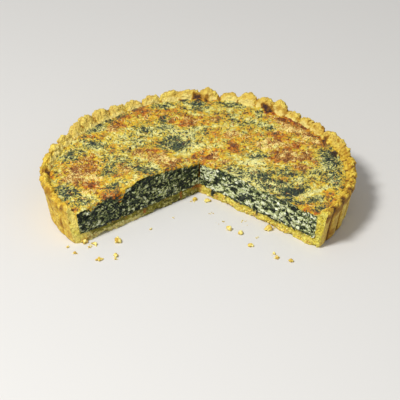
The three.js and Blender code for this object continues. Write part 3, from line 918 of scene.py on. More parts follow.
# Patches on the baked top: x, y, half width, half depth, turn, strength
topPatches = {
    "green": [
        (27, -27, 8, 5, -43, 0.9), (40, -39, 12, 6, -43, 1.0), (56, -54, 12, 6, -43, 0.9),
        (-87, 41, 12, 6, 42, 1.0), (-87, 12, 10, 6, 10, 0.9), (-106, -6, 9, 8, 0, 0.7),
        (-18, 14, 12, 8, -5, 1.15), (-19, 24, 8, 7, 0, 1.1), (-4, 24, 4, 4, 0, 0.6),
        (-45, 37, 8, 7, 0, 0.7), (-29, 55, 5, 5, 0, 1.0), (-32, 81, 11, 6, 15, 0.9),
        (-13, 92, 5, 5, 0, 1.0), (-1, 86, 7, 5, 0, 1.3), (0, 76, 9, 5, 0, 0.7), (30, 83, 12, 6, -15, 0.75),
        (32, 53, 10, 4, -35, 0.55), (52, 69, 4, 7, 0, 0.7), (51, 49, 13, 4, -25, 0.7),
        (61, 41, 6, 3, -20, 0.9), (-54, 20, 14, 12, 0, 0.42), (-62, -14, 14, 12, 0, 0.4),
        (-45, -31, 12, 6, -25, 1.0), (-72, -34, 7, 14, 0, 0.75), (-68, -56, 6, 7, 0, 0.8),
        (-104, -62, 8, 12, 25, 0.9), (-92, -78, 10, 7, 30, 0.6), (49, -5, 8, 6, 0, 1.0),
        (108, -12, 8, 20, 0, 1.1), (110, -40, 7, 16, -5, 0.8), (52, -40, 14, 7, -38, 1.0),
        (66, -48, 12, 9, -30, 0.75), (75, -62, 11, 8, 0, 1.6), (36, -30, 12, 5, -40, 0.5),
        (92, -72, 10, 6, 20, 0.9), (84, -40, 12, 10, 0, 0.5), (100, 3, 8, 9, 0, 0.3),
        (22, 64, 20, 8, 0, 0.22), (-10, 34, 22, 8, 0, 0.45), (24, -20, 10, 4, -42, 0.55),
        (-58, 4, 10, 8, 0, 0.35), (98, -86, 8, 6, 0, 0.7), (-76, 52, 8, 6, 45, 0.7),
        (-64, 66, 7, 6, 45, 0.6), (60, -22, 8, 8, 0, 0.25), (72, -32, 14, 8, -20, 0.65),
        (96, -32, 9, 12, 0, 0.6), (64, -57, 9, 4, -42, 0.7), (-27, 43, 8, 5, 0, 0.9),
        (-95, 20, 6, 6, 0, 0.6), (-106, -4, 8, 8, 0, 0.85), (86, -57, 6, 5, 0, 0.9),
        (75, -75, 8, 4, 0, 1.1), (-97, -1, 7, 6, 0, 0.5),
    ],
    "baked": [
        (-54, 78, 12, 16, -35, 0.55), (-63, 60, 5, 3.5, 0, 0.75), (-48, 70, 6, 9, 0, 0.5),
        (-58, 84, 7, 4, 30, 0.7), (-66, 50, 10, 7, 0, 0.4), (-90, 26, 8, 5, 0, 0.45),
        (-66, 12, 6, 7, 0, 0.3), (-12, 52, 12, 9, 0, 0.55), (-9, 50, 4, 5, 0, 0.3),
        (-26, 70, 6, 5, 0, 0.35), (-37, 66, 5, 9, 0, 0.35), (2, 60, 12, 5, 0, 0.3), (28, 10, 5, 8, 0, 0.7),
        (12, -5, 6, 4, 0, 0.85), (10, 4, 8, 6, 0, 0.45), (-1, -3, 4, 7, 0, 0.4), (6, -15, 9, 4, 0, 0.3),
        (20, 28, 16, 6, 0, 0.35), (79, 54, 13, 7, -35, 0.8), (90, 44, 8, 6, 0, 0.95),
        (70, 28, 8, 4, 0, 0.5), (98, 25, 6, 7, 0, 0.7), (71, 5, 7, 5, 0, 0.6), (81, 11, 5, 5, 0, 0.6),
        (65, -9, 7, 5, 0, 0.55), (88, 18, 7, 7, 0, 0.5), (107, 22, 5, 9, 0, 0.6), (82, 9, 5, 5, 0, 0.4),
        (72, 25, 14, 14, 0, 0.3), (65, -14, 6, 7, 0, 0.45), (75, -12, 6, 6, 0, 0.55),
        (88, -4, 8, 9, 0, 0.25), (93, -16, 5, 5, 0, 0.4), (83, -26, 6, 5, 0, 0.45),
        (68, -42, 3.5, 3.5, 0, 0.5), (80, -57, 4, 3, 0, 0.6), (86, -88, 6, 5, 0, 0.3),
        (104, -66, 6, 9, 0, 0.32), (103, -84, 5, 7, 0, 0.5), (112, 2, 4, 7, 0, 0.4), (60, 71, 6, 5, 0, 0.9),
        (4, 91, 8, 4, 0, 0.5), (-15, 92, 6, 3, 0, 0.4), (87, -86, 6, 3, 25, 0.4), (93, -94, 4, 3, 0, 0.6),
        (-85, -51, 10, 10, 0, 0.5), (-70, -69, 8, 5, 20, 0.55), (-92, -28, 13, 10, 0, 0.5),
        (-68, -40, 3, 4, 0, 0.6), (-64, -30, 7, 8, 0, 0.1), (-34, -8, 16, 9, -15, 0.25),
        (-38, 4, 8, 3, 0, 0.4), (-120, -36, 4, 8, 0, 0.5), (-88, -12, 9, 6, 0, 0.3),
        (-57, -70, 4, 6, 0, 0.4), (-96, -86, 3, 3, 0, 0.6), (40, 72, 8, 6, 0, 0.2),
        (-22, -20, 7, 4, -30, 0.35), (18, -20, 10, 5, -30, 0.3), (103, 13, 6, 6, 0, 0.6),
    ],
    "cool": [
        (46, -44, 26, 7, -43, 0.8), (48, -15, 11, 8, 0, 0.6), (46, -30, 9, 7, 0, 0.4),
        (4, 21, 7, 10, 0, 0.4), (-36, -25, 8, 5, -40, 0.35), (-62, 20, 9, 8, 0, 0.25),
        (-90, 48, 8, 5, 45, 0.35), (-90, -74, 10, 6, 20, 0.3), (17, 76, 4, 4, 0, 0.4),
        (-62, -14, 12, 9, 0, 0.35), (66, -58, 20, 8, -35, 0.25), (-20, 38, 16, 8, 0, 0.25),
        (92, -64, 14, 3, 30, 0.5), (-100, 22, 6, 5, 0, 0.4), (-55, 34, 9, 6, 0, 0.2),
        (110, -20, 6, 16, 0, 0.15),
    ],
    "clear": [
        (92, -64, 14, 3.2, 30, 1.2), (47, -15, 9, 5, 0, 0.9), (87, -86, 6, 3, 25, 0.9),
        (-79, -50, 9, 7, 30, 0.9), (-103, 16, 4, 5, 0, 0.8), (97, -52, 9, 3, 28, 0.7),
        (86, -70, 8, 3, 10, 0.6),
    ],
    "cream": [
        (71, 38, 10, 3, 0, 1.0), (92, 20, 9, 4, -10, 1.0), (60, 21, 6, 3, 0, 0.8),
        (-38, -14, 12, 4, -22, 0.7), (-52, 12, 6, 4, 0, 0.5), (56, 6, 8, 3, 0, 0.6),
        (-88, -64, 9, 4, 20, 0.6), (-14, 57, 10, 3, 0, 0.6), (30, 32, 9, 3, 0, 0.5),
        (92, -64, 13, 2.2, 30, 0.9), (58, 13, 7, 3, 0, 0.6), (-80, -44, 8, 5, 0, 0.7),
        (48, -14, 10, 4, 0, 0.9), (-38, 40, 8, 4, 0, 0.6), (-2, 12, 7, 5, 0, 0.9),
        (41, -27, 9, 3, -20, 0.7),
    ],
    "tan": [
        (-34, -9, 17, 8, -22, 1.0), (-96, -34, 17, 18, 0, 0.85), (-72, 38, 9, 9, 0, 0.6),
        (-12, 54, 15, 7, 0, 0.6), (30, 30, 13, 6, 0, 0.8), (15, -2, 10, 9, 0, 0.55),
        (80, 46, 17, 14, -30, 0.75), (88, 30, 9, 6, 0, 0.9), (66, 12, 13, 11, 0, 0.85),
        (78, -8, 16, 14, 0, 0.7), (92, 18, 12, 12, 0, 0.6), (22, -14, 9, 6, 0, 0.6),
        (-60, -32, 9, 8, 0, 0.5), (88, -22, 12, 10, 0, 0.6), (-88, -60, 10, 8, 0, 0.5),
        (-37, 65, 5, 8, 0, 0.5), (12, 60, 8, 5, 0, 0.5), (-88, -8, 10, 6, 0, 0.4), (58, -14, 8, 8, 0, 0.3),
    ],
    "burnt": [
        (-116, -33, 4, 7, 0, 1.1), (3, 91, 7, 3.5, 0, 1.2), (59, 74, 4.5, 4, 0, 1.2),
        (112, -2, 5, 6, 0, 1.2), (105, 20, 5, 4, -50, 0.8), (-14, 92, 4, 2.5, 0, 0.7),
        (80, -58, 3, 2.4, 0, 0.6), (-102, 33, 3, 2, 40, 0.5),
    ],
}


# Shares of each finish over the top, with ragged edges, and the chopped leaves that show through
def topFinish(x, y):
    bend = layeredNoise(flat(x, y, 90), 12, 2, 85)
    wide = layeredNoise(flat(x, y), 9, 2, 81)
    small = layeredNoise(flat(x + bend, y, 50), 3.6, 2, 83)
    bentX, bentY = x + 2.5 * wide, y + 2.5 * bend
    near = {kind: ovalsAt(patches, bentX, bentY) for kind, patches in topPatches.items()}
    baked = 0.34 + 0.95 * near["baked"] - 0.6 * near["cool"] - 0.26 * near["green"] - 0.3 * near["cream"]
    baked = baked + 0.24 * wide + 0.42 * small
    leafPlace = flat(x * 0.8 + 2.2 * bend, y * 0.95 + 1.6 * wide, 20)
    chopped = layeredNoise(leafPlace, 1.9, 2, 87)
    cover = 0.74 * near["green"] - 0.3 * near["tan"] - 0.2 * near["baked"] - 0.2 * near["cool"] + 0.2 * wide
    cover = cover + 0.25 * small - 0.9 * near["clear"]
    return {
        "baked": np.clip(baked, 0, 1.1),
        "tan": 0.9 * ramp(near["tan"] + 0.35 * wide + 0.5 * small, 0.35, 0.95),
        "leaf": ramp(chopped + 0.45 * cover, 0.42, 0.62),
        "burnt": ramp(near["burnt"] + 0.8 * small + 0.6 * chopped, 0.55, 1.0),
        "green": np.clip(0.04 + cover, 0, 1),
        "cream": near["cream"] * (1 + small),
    }


topRelief = {
    "broad": 0.7, "fine": 0.9, "blister": 1.6, "browned": 0.5, "stringy": 0.3, "cream": 1.2, "leaf": 0.35,
    "edge": 1.2,
}


def topHeight(x, y, finish=None):
    finish = finish or topFinish(x, y)
    angle, distance = aroundCase(x, y)
    fromCentre = distance - sumOfWaves(outlineWaves, angle)
    rimFoot = innerTopRadius + pressingAt(angle)["narrower"]
    edge = ramp(fromCentre, rimFoot - fillingShape["edgeWidth"], rimFoot)
    fromPoint = np.hypot(x - cutShape["apex"][0], y - cutShape["apex"][1])
    fromDome = np.hypot(x - fillingShape["domeAt"][0], y - fillingShape["domeAt"][1])
    waves = lumps(x - middleOfCase[0], y - middleOfCase[1], fillingShape["lumpSize"])
    height = fillingShape["height"] - fillingShape["edgeDip"] * edge
    height -= fillingShape["pointSag"] * (1 - ramp(fromPoint, 0, fillingShape["sagReach"]))
    height += fillingShape["lump"] * waves
    height += fillingShape["dome"] * np.exp(-(fromDome / fillingShape["domeReach"]) ** 2)
    height += topRelief["broad"] * layeredNoise(flat(x, y), 9, 2, 91)
    height += topRelief["fine"] * layeredNoise(flat(x, y, 30), 2.6, 2, 93)
    height += topRelief["browned"] * finish["baked"] + topRelief["stringy"] * finish["tan"]
    leafy = topRelief["leaf"] * finish["leaf"] * (0.3 + finish["green"])
    height += leafy + topRelief["cream"] * finish["cream"]
    height += topRelief["blister"] * (0.45 - pebbles(flat(x, y, 10), 3.6, 99))
    return height + topRelief["edge"] * layeredNoise(flat(x, y, 60), 6, 2, 95) * edge


# Piece: the fluted case
crustLook = {
    "rowStep": 0.72, "stepsPerFlute": 21, "lump": 0.8, "clod": 2.2, "clodSize": 4.6, "crumb": 1.9,
    "crumbSize": 2.1, "grain": 0.5, "pit": 0.8, "groove": 1.1, "cutCrumb": 1.3, "cutCrumbSize": 2.8,
    "cutUneven": 0.6, "cutRagged": 2.6, "bake": 0.16, "bakePatches": 0.3, "bakeSpots": 0.3,
    # the under-rim share is painted shade; the slope, flute and cut-side pale shares are painted highlights,
    # the slope's partly the pastry's own
    "paintedShadeUnderRim": 0.55, "paleSlope": 0.66, "highlightRibs": 0.24, "highlightByCut": 0.2,
}
# Deeper baked spots seen on the crust; the four on the right front under the rim's lip, x 97 to 110, are
# partly painted shade: x, y, z, reach, strength
bakedSpots = [
    (-121, -66, 35, 3, 0.45), (-117, -70, 36, 2.5, 0.25), (-117, -75, 35, 2, 0.4), (-112, -82, 31, 3, 0.25),
    (-105, -91, 32, 3, 0.3), (-108, -81, 12, 4, 0.5), (-116, -69, 19, 1.8, 0.9), (-108, -88, 31, 1.8, 0.8),
    (-103, -92, 21, 3, 0.4), (-99, -98, 29, 3, 0.3), (-102, -89, 8, 4, 0.3), (-97, 38, 34, 1.2, 0.9),
    (-93, 44, 33, 1.0, 0.9), (-90, 47, 33, 0.9, 0.9), (-87, 50, 33, 1.0, 0.9), (-106, 29, 36, 1.6, 0.7),
    (17, 99, 36, 2, 0.5), (-21, 98, 35, 2.5, 0.5), (-1, 94, 32, 4, 2.2), (6, 92, 32, 3, 1.8),
    (57, 77, 32.5, 2.6, 2.2), (61, 74, 31.5, 2.8, 1.6), (106, 22, 32.5, 2.5, 1.2), (113, -2, 32, 3.5, 2.0),
    (115, -7, 33, 2.5, 1.4), (-120, -33, 33.5, 3.5, 1.7), (71, 62, 33, 3, 0.9), (84, 53, 33, 2.5, 0.7),
    (101, -99, 29, 3, 0.8), (97, -103, 26, 3, 0.7), (109, -89, 31, 3, 0.4), (110, -86, 26, 3, 0.3),
    (115, -81, 35, 3, 0.35), (106, -86, 8, 3, 0.4), (120, -66, 35, 3, 0.35), (124, -50, 35, 3, 0.3),
]


# How brown the crust is baked, with scattered spots; painted shade darkens the creases, the band under the
# rim, the crevices between clods and the right side
def bakeAt(points, creviceShade):
    look = crustLook
    x, y, z = points.T
    angle, distance = aroundCase(x, y)
    rib, _, _ = rimAt(fluteOfAngle(angle), angle)
    rightSide = ramp(np.cos(angle + 0.2), 0.3, 0.8)
    outside = ramp(distance - sumOfWaves(outlineWaves, angle), 120.5, 122.5)
    outside = np.maximum(outside, 1 - ramp(z, 30, 31))
    onWall = outside * (1 - ramp(z, 33, 36)) * (1 - 1.5 * pressingAt(angle)["smoother"])
    # painted shade: darker in the creases between lobes all round, most on the right side's wall
    creaseShade = (1 - ramp(rib, 0.15, 0.7)) * (0.1 + (0.6 + 0.55 * rightSide) * onWall)
    patches = look["bakePatches"] * layeredNoise(points, 14, 2, 61)
    spots = ramp(layeredNoise(points, 2.6, 2, 63), 0.42, 0.7)
    # painted shade in the band under the rim's overhang, stronger on the right
    shadeUnderRim = np.exp(-((z - 28.5) / 3) ** 2) * ramp(distance, 119, 122) * (0.5 + 0.5 * rightSide)
    bake = look["bake"] + patches + creaseShade + look["bakeSpots"] * spots + look["paintedShadeUnderRim"] * shadeUnderRim
    # painted shade: the right side, turned from the light, a little deeper; the left end's outer wall a
    # deeper tone
    bake += (0.04 + 0.16 * onWall) * rightSide + 0.1 * outside * ramp(-x, 90, 112)
    ragged = layeredNoise(points, 3.4, 2, 67)
    grainy = layeredNoise(points, 1.7, 2, 68)
    for *spot, reach, strength in bakedSpots:
        away = ((points - np.array(spot)) ** 2).sum(axis=1) / reach ** 2
        bake += strength * np.exp(-away * np.maximum(1 + 1.4 * ragged, 0.4)) * (1 + 0.9 * grainy)
    # painted shade in the crevices, stronger on the rim and on the right side
    onRim = 0.3 + 0.7 * ramp(z, 31, 34)
    return bake + (0.2 + 0.4 * rightSide) * creviceShade * onRim


# The rim's inner slope is pale pastry, painted lighter still as if lit, except on the right; painted
# highlights lie on the flutes of the right side's wall, along the rim's crest at the back and on the outer
# wall beside the left cut
def paleAndHighlightAt(points):
    look = crustLook
    x, y, z = points.T
    angle, distance = aroundCase(x, y)
    fromCentre = distance - sumOfWaves(outlineWaves, angle) + 1.4 * layeredNoise(points, 3, 2, 65)
    slope = look["paleSlope"] * nearAngle(angle, 105, 84, 66 / 84) * (1 - ramp(fromCentre, 118.0, 120.0))
    rib, _, _ = rimAt(fluteOfAngle(angle), angle)
    # painted highlight on the flutes of the right side's wall
    ribHighlight = look["highlightRibs"] * ramp(rib, 0.6, 0.95) * ramp(np.cos(angle), 0.2, 0.5) * (1 - ramp(z, 25, 31))
    # painted highlight along the rim's crest at the back
    crest = ramp(z, 31, 33) * ramp(y, -20, 20) * (0.2 + 0.1 * ramp(-x, -20, 60))
    # painted highlight on the outer wall beside the left cut
    fromCut = -(points[:, :2] - cutShape["apex"]) @ cutNormal(-1) + 2.5 * layeredNoise(points, 6, 2, 66)
    cutEdgeHighlight = look["highlightByCut"] * (1 - ramp(fromCut, 2, 11)) * (x < -60)
    return np.maximum.reduce([slope, cutEdgeHighlight, ribHighlight, crest])


# Spots on the base's two cut faces: along, height, half length, half height, slant, strength
baseSpots = {
    "darkSpotsAndShade": {
        -1: [
            (22, 1.5, 5, 1.6, 0, 0.9), (30, 5, 6, 1.5, 0, 0.4), (6, 3, 6, 1.4, 0, 0.5),
            (62, 2.5, 2, 1, 0, 0.5), (67, 4, 1.4, 1.4, 0, 0.6), (48, 2, 2, 1, 0, 0.4),
        ],
        1: [
            (16, 6, 2.6, 4, -20, 1.2), (29, 8, 1.2, 2.2, 0, 1.1), (55, 6, 1.2, 1.2, 0, 0.8),
            (60, 8.5, 1.4, 1.8, 0, 1.0), (84, 7, 2.5, 1.4, 0, 0.6), (97, 8, 1.6, 2.0, 0, 1.1),
            (112, 9.5, 1.8, 2.6, 0, 1.1), (91, 8.8, 1.8, 1.0, 0, 0.8),
        ],
    },
    "orange": {
        -1: [
            (3, 6, 5, 2, 10, 0.9), (20, 5.5, 1.1, 3.4, 0, 1.1), (58, 4.5, 1.6, 1.6, 0, 1.0),
            (77, 6.5, 1.4, 0.8, 0, 0.6), (88, 9, 3, 1.2, 0, 0.7), (112, 3, 5, 1.6, 0, 0.7),
            (36, 9, 1.4, 1.4, 0, 0.6), (118, 11.5, 4, 1.8, 0, 0.7),
        ],
        1: [
            (68, 3, 3, 1, 0, 0.35), (41, 5, 2, 1.2, 0, 0.3), (95, 3, 3, 1, 0, 0.3),
            (0.5, 5, 1.6, 5, 0, 0.8),
        ],
    },
}


# The left cut's base is soaked olive by the filling, the right one only just under the filling; painted light
# lifts the left cut's wall and tip, and painted shade lies low by the point
def stainsAt(points, side, along):
    height = points[:, 2]
    noise = layeredNoise(points, 5, 3, 71)
    inBase = 1 - ramp(height + noise, 9.5, 12.5)
    left = (side < 0) * inBase
    crumbled = 1 + 0.9 * layeredNoise(points, 2.0, 2, 75)
    atTip = ramp(along + 5 * noise, 112, 119)
    lowerHalf = ramp(along + 6 * noise, 56, 66) * (1 - ramp(height + 2.2 * noise - 12 * atTip, 3.4, 5.4))
    spots = ramp(layeredNoise(points, 3.2, 2, 73), 0.3, 0.6)
    right = (0.45 * ramp(height + 2.5 * noise, 6.8, 9.5) + 0.4 * spots) * (side > 0) * inBase
    stains = {kind: crumbled * ovalsOnFaces(ovals, side, along, height) for kind, ovals in baseSpots.items()}
    stains["soaked"] = (1 - 0.25 * ramp(noise, 0.1, 0.5)) * left * (1 - 0.8 * atTip) + right
    stains["straw"] = (0.55 + 0.35 * crumbled * lowerHalf) * lowerHalf * left * (1 - atTip)
    # painted light: the left cut's wall above the base, and its tip, lighter as if lit
    stains["paintedLight"] = (side < 0) * np.maximum(1 - inBase, atTip) * (0.5 + 0.9 * noise)
    overhang = ramp(height + 3.4 * noise, 7.7, 8.7) * (1 - ramp(along, 104, 109)) * (side != 0)
    # painted shade low on the left cut's base near the point
    shadeAtPoint = left * (1 - ramp(along, 18, 46)) * ramp(3 - height + 3 * noise, 0, 3)
    stains["darkSpotsAndShade"] = stains["darkSpotsAndShade"] + 0.8 * overhang + 0.7 * shadeAtPoint
    return {kind: np.clip(share, 0, 1) for kind, share in stains.items()}


def buildCrust():
    section = denseSection(crustSection(), crustLook["rowStep"])
    steps = caseShape["flutes"] * crustLook["stepsPerFlute"]
    mesh, row, turn = rolledGrid("bakedCrust", len(section), steps)
    flute = turn * caseShape["flutes"] + 0.5
    angle = angleOfFlute(flute)
    pressing = pressingAt(angle)
    rib, height, reach = rimAt(flute, angle)
    radius, z, out, thin, narrow, fluteShare, rimShare, rough = section[row].T
    depth = caseShape["fluteDepth"] * (1 - pressing["smoother"])
    radius = radius + out * pressing["baseOut"] + thin * pressing["thinner"] + narrow * pressing["narrower"]
    radius = radius + fluteShare * depth * (rib - 1) + rimShare * reach
    radius = radius + sumOfWaves(outlineWaves, angle) * (section[row, 0] > 0)
    setPoints(mesh, ringPoints(angle, radius, z + rimShare * height))
    setAttribute(mesh, "rough", rough)
    setAttribute(mesh, "groove", (1 - ramp(rib, 0.05, 0.5)) * (fluteShare > 0.75) * (1 - ramp(z, 29, 33)))
    closeSeams(mesh)

    # hand-pressed unevenness, crumbs and small pits, strongest on the rim
    look = crustLook
    points = pointsOf(mesh)
    rough = getAttribute(mesh, "rough")
    warped = points + 1.1 * layeredNoise(points, 3, 1, 40)[:, None]
    clod = pebbles(warped, look["clodSize"], 45)
    crumb = pebbles(warped, look["crumbSize"], 49)
    push = look["lump"] * layeredNoise(points, 9, 2, 41) * np.clip(2.2 * rough, 0, 1)
    push += (look["clod"] * (0.45 - clod) + look["crumb"] * (0.45 - crumb)) * rough
    push += look["grain"] * layeredNoise(points, 2.2, 2, 43) * np.clip(1.6 * rough, 0, 1)
    push -= look["pit"] * ramp(softNoise(points, 2.2, 47), 0.6, 0.85) * np.clip(1.5 * rough, 0, 1)
    push -= look["groove"] * getAttribute(mesh, "groove")
    points = points + normalsOf(mesh) * (push * (rough > 0.02))[:, None]
    points[:, 2] = np.maximum(points[:, 2], 0)
    setPoints(mesh, points)
    # painted shade: how deep each place lies in the crevices between clods and crumbs
    creviceShade = (0.5 * ramp(crumb, 0.5, 0.8) + ramp(clod, 0.55, 0.8)) * rough
    setAttribute(mesh, "bake", bakeAt(points, creviceShade))
    # pale pastry and painted highlights for the crust
    setAttribute(mesh, "paleAndHighlight", paleAndHighlightAt(points))

    mesh = combine(mesh, wedgeCutter(crustRelief), "DIFFERENCE")
    points = pointsOf(mesh)
    side, along = facesCut(points, crustRelief)
    markCutFaces(mesh, side)
    for kind, share in stainsAt(points, side, along).items():
        setAttribute(mesh, kind, share)
    crust = addObject("bakedCrust", mesh, [bakedCrustMaterial(), crumbMaterial()])
    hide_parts("crust")


# Piece: the filling, with its baked top and its two knife faces
# Pairs are for the knife faces, -1 the left one; sizes and reliefs are in millimetres
fillingLook = {
    "topGrid": 0.72, "bodySteps": 280, "paleness": {-1: 0.29, 1: 0.49}, "paleBelow": 0.08, "curds": 0.4,
    "leaves": 0.5, "squeeze": {-1: 0.8, 1: 0.62}, "drift": 1.4, "shreds": 0.8, "shredSize": 2.3,
    "specks": 0.3, "speckSize": 1.3, "patches": 0.2, "patchSize": 10, "chop": 0.5, "chopSize": 2.1,
    "clod": 0.7, "clodSize": 4.0, "crumbled": 1.1, "skinProud": 0.5, "skinThick": {-1: 1.0, 1: 0.2},
    "skinUneven": {-1: 1.0, 1: 0.5},
}


# The filling's outline without its top, a little into the wall so that no gap shows
def fillingBody():
    s = caseShape
    into = fillingShape["intoWall"]
    top, foot = innerTopRadius + into, innerFootRadius + into
    over = fillingShape["height"] + 15
    thick, fillet = s["baseThickness"], s["floorFillet"]
    section = np.array([
        [0, thick, 0, 0], [foot - fillet, thick, 1, 0], [foot - 0.3 * fillet, thick + 0.3 * fillet, 1, 0],
        [foot, thick + fillet, 1, 0], [top, fillingShape["height"], 0, 1], [top, over, 0, 1], [0, over, 0, 0],
    ])
    mesh, row, turn = rolledGrid("fillingBody", len(section), fillingLook["bodySteps"])
    angle = turn * 2 * math.pi
    radius, z, low, high = section[row].T
    pressing = pressingAt(angle)
    wider = low * (pressing["baseOut"] + pressing["thinner"]) + high * pressing["narrower"]
    radius = radius + (wider + sumOfWaves(outlineWaves, angle)) * (radius > 0)
    setPoints(mesh, ringPoints(angle, radius, z))
    closeSeams(mesh)
    return mesh


# A slab whose upper side is the baked top
def topSlab():
    half = caseShape["rimRadius"] + 2
    bm = bmesh.new()
    segments = round(2 * half / fillingLook["topGrid"])
    bmesh.ops.create_grid(bm, x_segments=segments, y_segments=segments, size=half)
    bmesh.ops.translate(bm, vec=(*middleOfCase, 0), verts=bm.verts)
    mesh = bpy.data.meshes.new("topSlab")
    bm.to_mesh(mesh)
    points = pointsOf(mesh)
    points[:, 2] = topHeight(points[:, 0], points[:, 1])
    setPoints(mesh, points)
    bm.clear()
    bm.from_mesh(mesh)
    border = [edge for edge in bm.edges if edge.is_boundary]
    grown = bmesh.ops.extrude_edge_only(bm, edges=border)["geom"]
    for vert in grown:
        if isinstance(vert, bmesh.types.BMVert):
            vert.co.z = 0
    bmesh.ops.holes_fill(bm, edges=[edge for edge in bm.edges if edge.is_boundary], sides=0)
    bmesh.ops.recalc_face_normals(bm, faces=bm.faces)
    bm.to_mesh(mesh)
    bm.free()
    return mesh


def buildFilling():
    mesh = combine(topSlab(), fillingBody(), "INTERSECT")
    mesh = combine(mesh, wedgeCutter(fillingRelief), "DIFFERENCE")
    mesh = combine(mesh, nickCutter(), "DIFFERENCE")
    mesh.name = "bakedFilling"
    points = pointsOf(mesh)
    side, along = facesCut(points, fillingRelief)
    finish = topFinish(points[:, 0], points[:, 1])
    below = topHeight(points[:, 0], points[:, 1], finish) - points[:, 2]
    fromPoint = points[:, :2] - cutShape["apex"]
    lengthwise = directionOf(nick["deg"])
    across = np.abs(fromPoint @ np.array([lengthwise[1], -lengthwise[0]]))
    inNick = (across < 0.6 * nick["width"]) & (fromPoint @ lengthwise > 0)
    inNick &= (np.hypot(*fromPoint.T) < nick["length"]) & (below > 0.3)
    side[inNick] = -1
    markCutFaces(mesh, side)
    # the nick's walls are set near-black: painted shade in the narrow slit
    setAttribute(mesh, "pale", np.where(inNick, 0.15, palenessAt(along, points[:, 2], side)))
    for kind, share in finish.items():
        setAttribute(mesh, kind, share)
    skinEdge = skinDepthAt(along, side)
    uneven = below + 0.5 * layeredNoise(points, 2.5, 2, 97)
    setAttribute(mesh, "skin", 1 - ramp(uneven, skinEdge - 0.2, skinEdge + 0.8))
    filling = addObject("bakedFilling", mesh, [bakedTopMaterial(), insideMaterial()])
    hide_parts("filling")


# A short rod with rings along it, to be bent into strands and shreds
def rodTemplate(sides, rings):
    bm = bmesh.new()
    bmesh.ops.create_cone(bm, cap_ends=True, cap_tris=True, segments=sides, radius1=1, radius2=1, depth=1)
    lengthwise = [edge for edge in bm.edges if abs(edge.verts[0].co.z - edge.verts[1].co.z) > 0.5]
    bmesh.ops.subdivide_edges(bm, edges=lengthwise, cuts=rings - 2, use_grid_fill=True)
    bmesh.ops.triangulate(bm, faces=bm.faces)
    bmesh.ops.recalc_face_normals(bm, faces=bm.faces)
    return meshOf(bm, "rod")


def blobTemplate():
    bm = bmesh.new()
    bmesh.ops.create_icosphere(bm, subdivisions=2, radius=1)
    return meshOf(bm, "blob")


# places holds each copy's vertices: (copies, vertices of the template, 3)
def joinedCopies(name, template, places, tones):
    copies, each = places.shape[:2]
    faces = np.array([face.vertices[:] for face in template.polygons])
    corners = (faces[None] + each * np.arange(copies)[:, None, None]).reshape(-1)
    mesh = bpy.data.meshes.new(name)
    mesh.vertices.add(copies * each)
    mesh.loops.add(len(corners))
    mesh.polygons.add(len(corners) // 3)
    mesh.vertices.foreach_set("co", places.astype(np.float32).ravel())
    mesh.loops.foreach_set("vertex_index", corners.astype(np.int32))
    mesh.polygons.foreach_set("loop_start", np.arange(0, len(corners), 3, dtype=np.int32))
    mesh.update(calc_edges=True)
    setAttribute(mesh, "tone", np.repeat(tones, each))
    return mesh


# Rods bent along a surface. surface(a, b) gives points; axes are its directions for a, b and outwards
def bentRods(template, look, a, b, heading, curl, length, width, surface, axes):
    spread = pointsOf(template)
    share = spread[:, 2]
    turned = heading[:, None] + curl[:, None] * (share[None] * length[:, None])
    centreA = a[:, None] + (np.sin(turned) - np.sin(heading)[:, None]) / curl[:, None]
    centreB = b[:, None] - (np.cos(turned) - np.cos(heading)[:, None]) / curl[:, None]
    middle = surface(centreA.ravel(), centreB.ravel()).reshape(*centreA.shape, 3)
    taper = 1 - 0.65 * (2 * np.abs(share)) ** 2
    across = spread[:, 0] * taper * 0.5 * width[:, None]
    proud = spread[:, 1] * taper * 0.5 * look["thickness"] + look["lift"]
    sideways = -np.sin(turned)[..., None] * axes[0] + np.cos(turned)[..., None] * axes[1]
    return middle + across[..., None] * sideways + proud[:, None] * axes[2]


# Lumps of different shapes, each turned its own way and a little squashed from above
def unevenBlobs(template, centres, sizes, seed, squash=0.85):
    spread = pointsOf(template)
    rng = np.random.default_rng(seed)
    copies = len(centres)
    spin = rng.normal(size=(copies, 4))
    w, x, y, z = (spin / np.linalg.norm(spin, axis=1)[:, None]).T
    turns = np.array([
        [1 - 2 * (y * y + z * z), 2 * (x * y - w * z), 2 * (x * z + w * y)],
        [2 * (x * y + w * z), 1 - 2 * (x * x + z * z), 2 * (y * z - w * x)],
        [2 * (x * z - w * y), 2 * (y * z + w * x), 1 - 2 * (x * x + y * y)],
    ]).transpose(2, 0, 1)
    stretch = rng.uniform(0.65, 1.25, (copies, 1, 3))
    apart = spread[None] * 1.1 + 50 * np.arange(copies)[:, None, None]
    noise = layeredNoise(apart.reshape(-1, 3), 0.9, 2, seed).reshape(copies, -1, 1)
    shape = spread[None] * stretch * (1 + 0.5 * noise)
    shape = np.einsum("nij,nvj->nvi", turns, shape) * sizes[:, None, None] / 2
    shape[:, :, 2] *= squash
    return shape + centres[:, None, :]


# Places on the top, more often where share of the finish is high, and clear of the rim by edge
def placesOnTop(count, share, rng, edge):
    found = np.empty((0, 2))
    reach = caseShape["rimRadius"]
    while len(found) < count:
        spots = rng.uniform(-reach, reach, (count * 4, 2)) + middleOfCase
        angle, distance = aroundCase(*spots.T)
        fromApex = spots - cutShape["apex"]
        inWedge = (fromApex @ cutNormal(-1) > -1) & (fromApex @ cutNormal(1) > -1)
        spots = spots[(distance < innerTopRadius + sumOfWaves(outlineWaves, angle) - edge) & ~inWedge]
        spots = spots[rng.uniform(size=len(spots)) < share(topFinish(*spots.T))]
        found = np.concatenate([found, spots])
    return found[:count].T


def topSurface(x, y):
    return flat(x, y, topHeight(x, y))


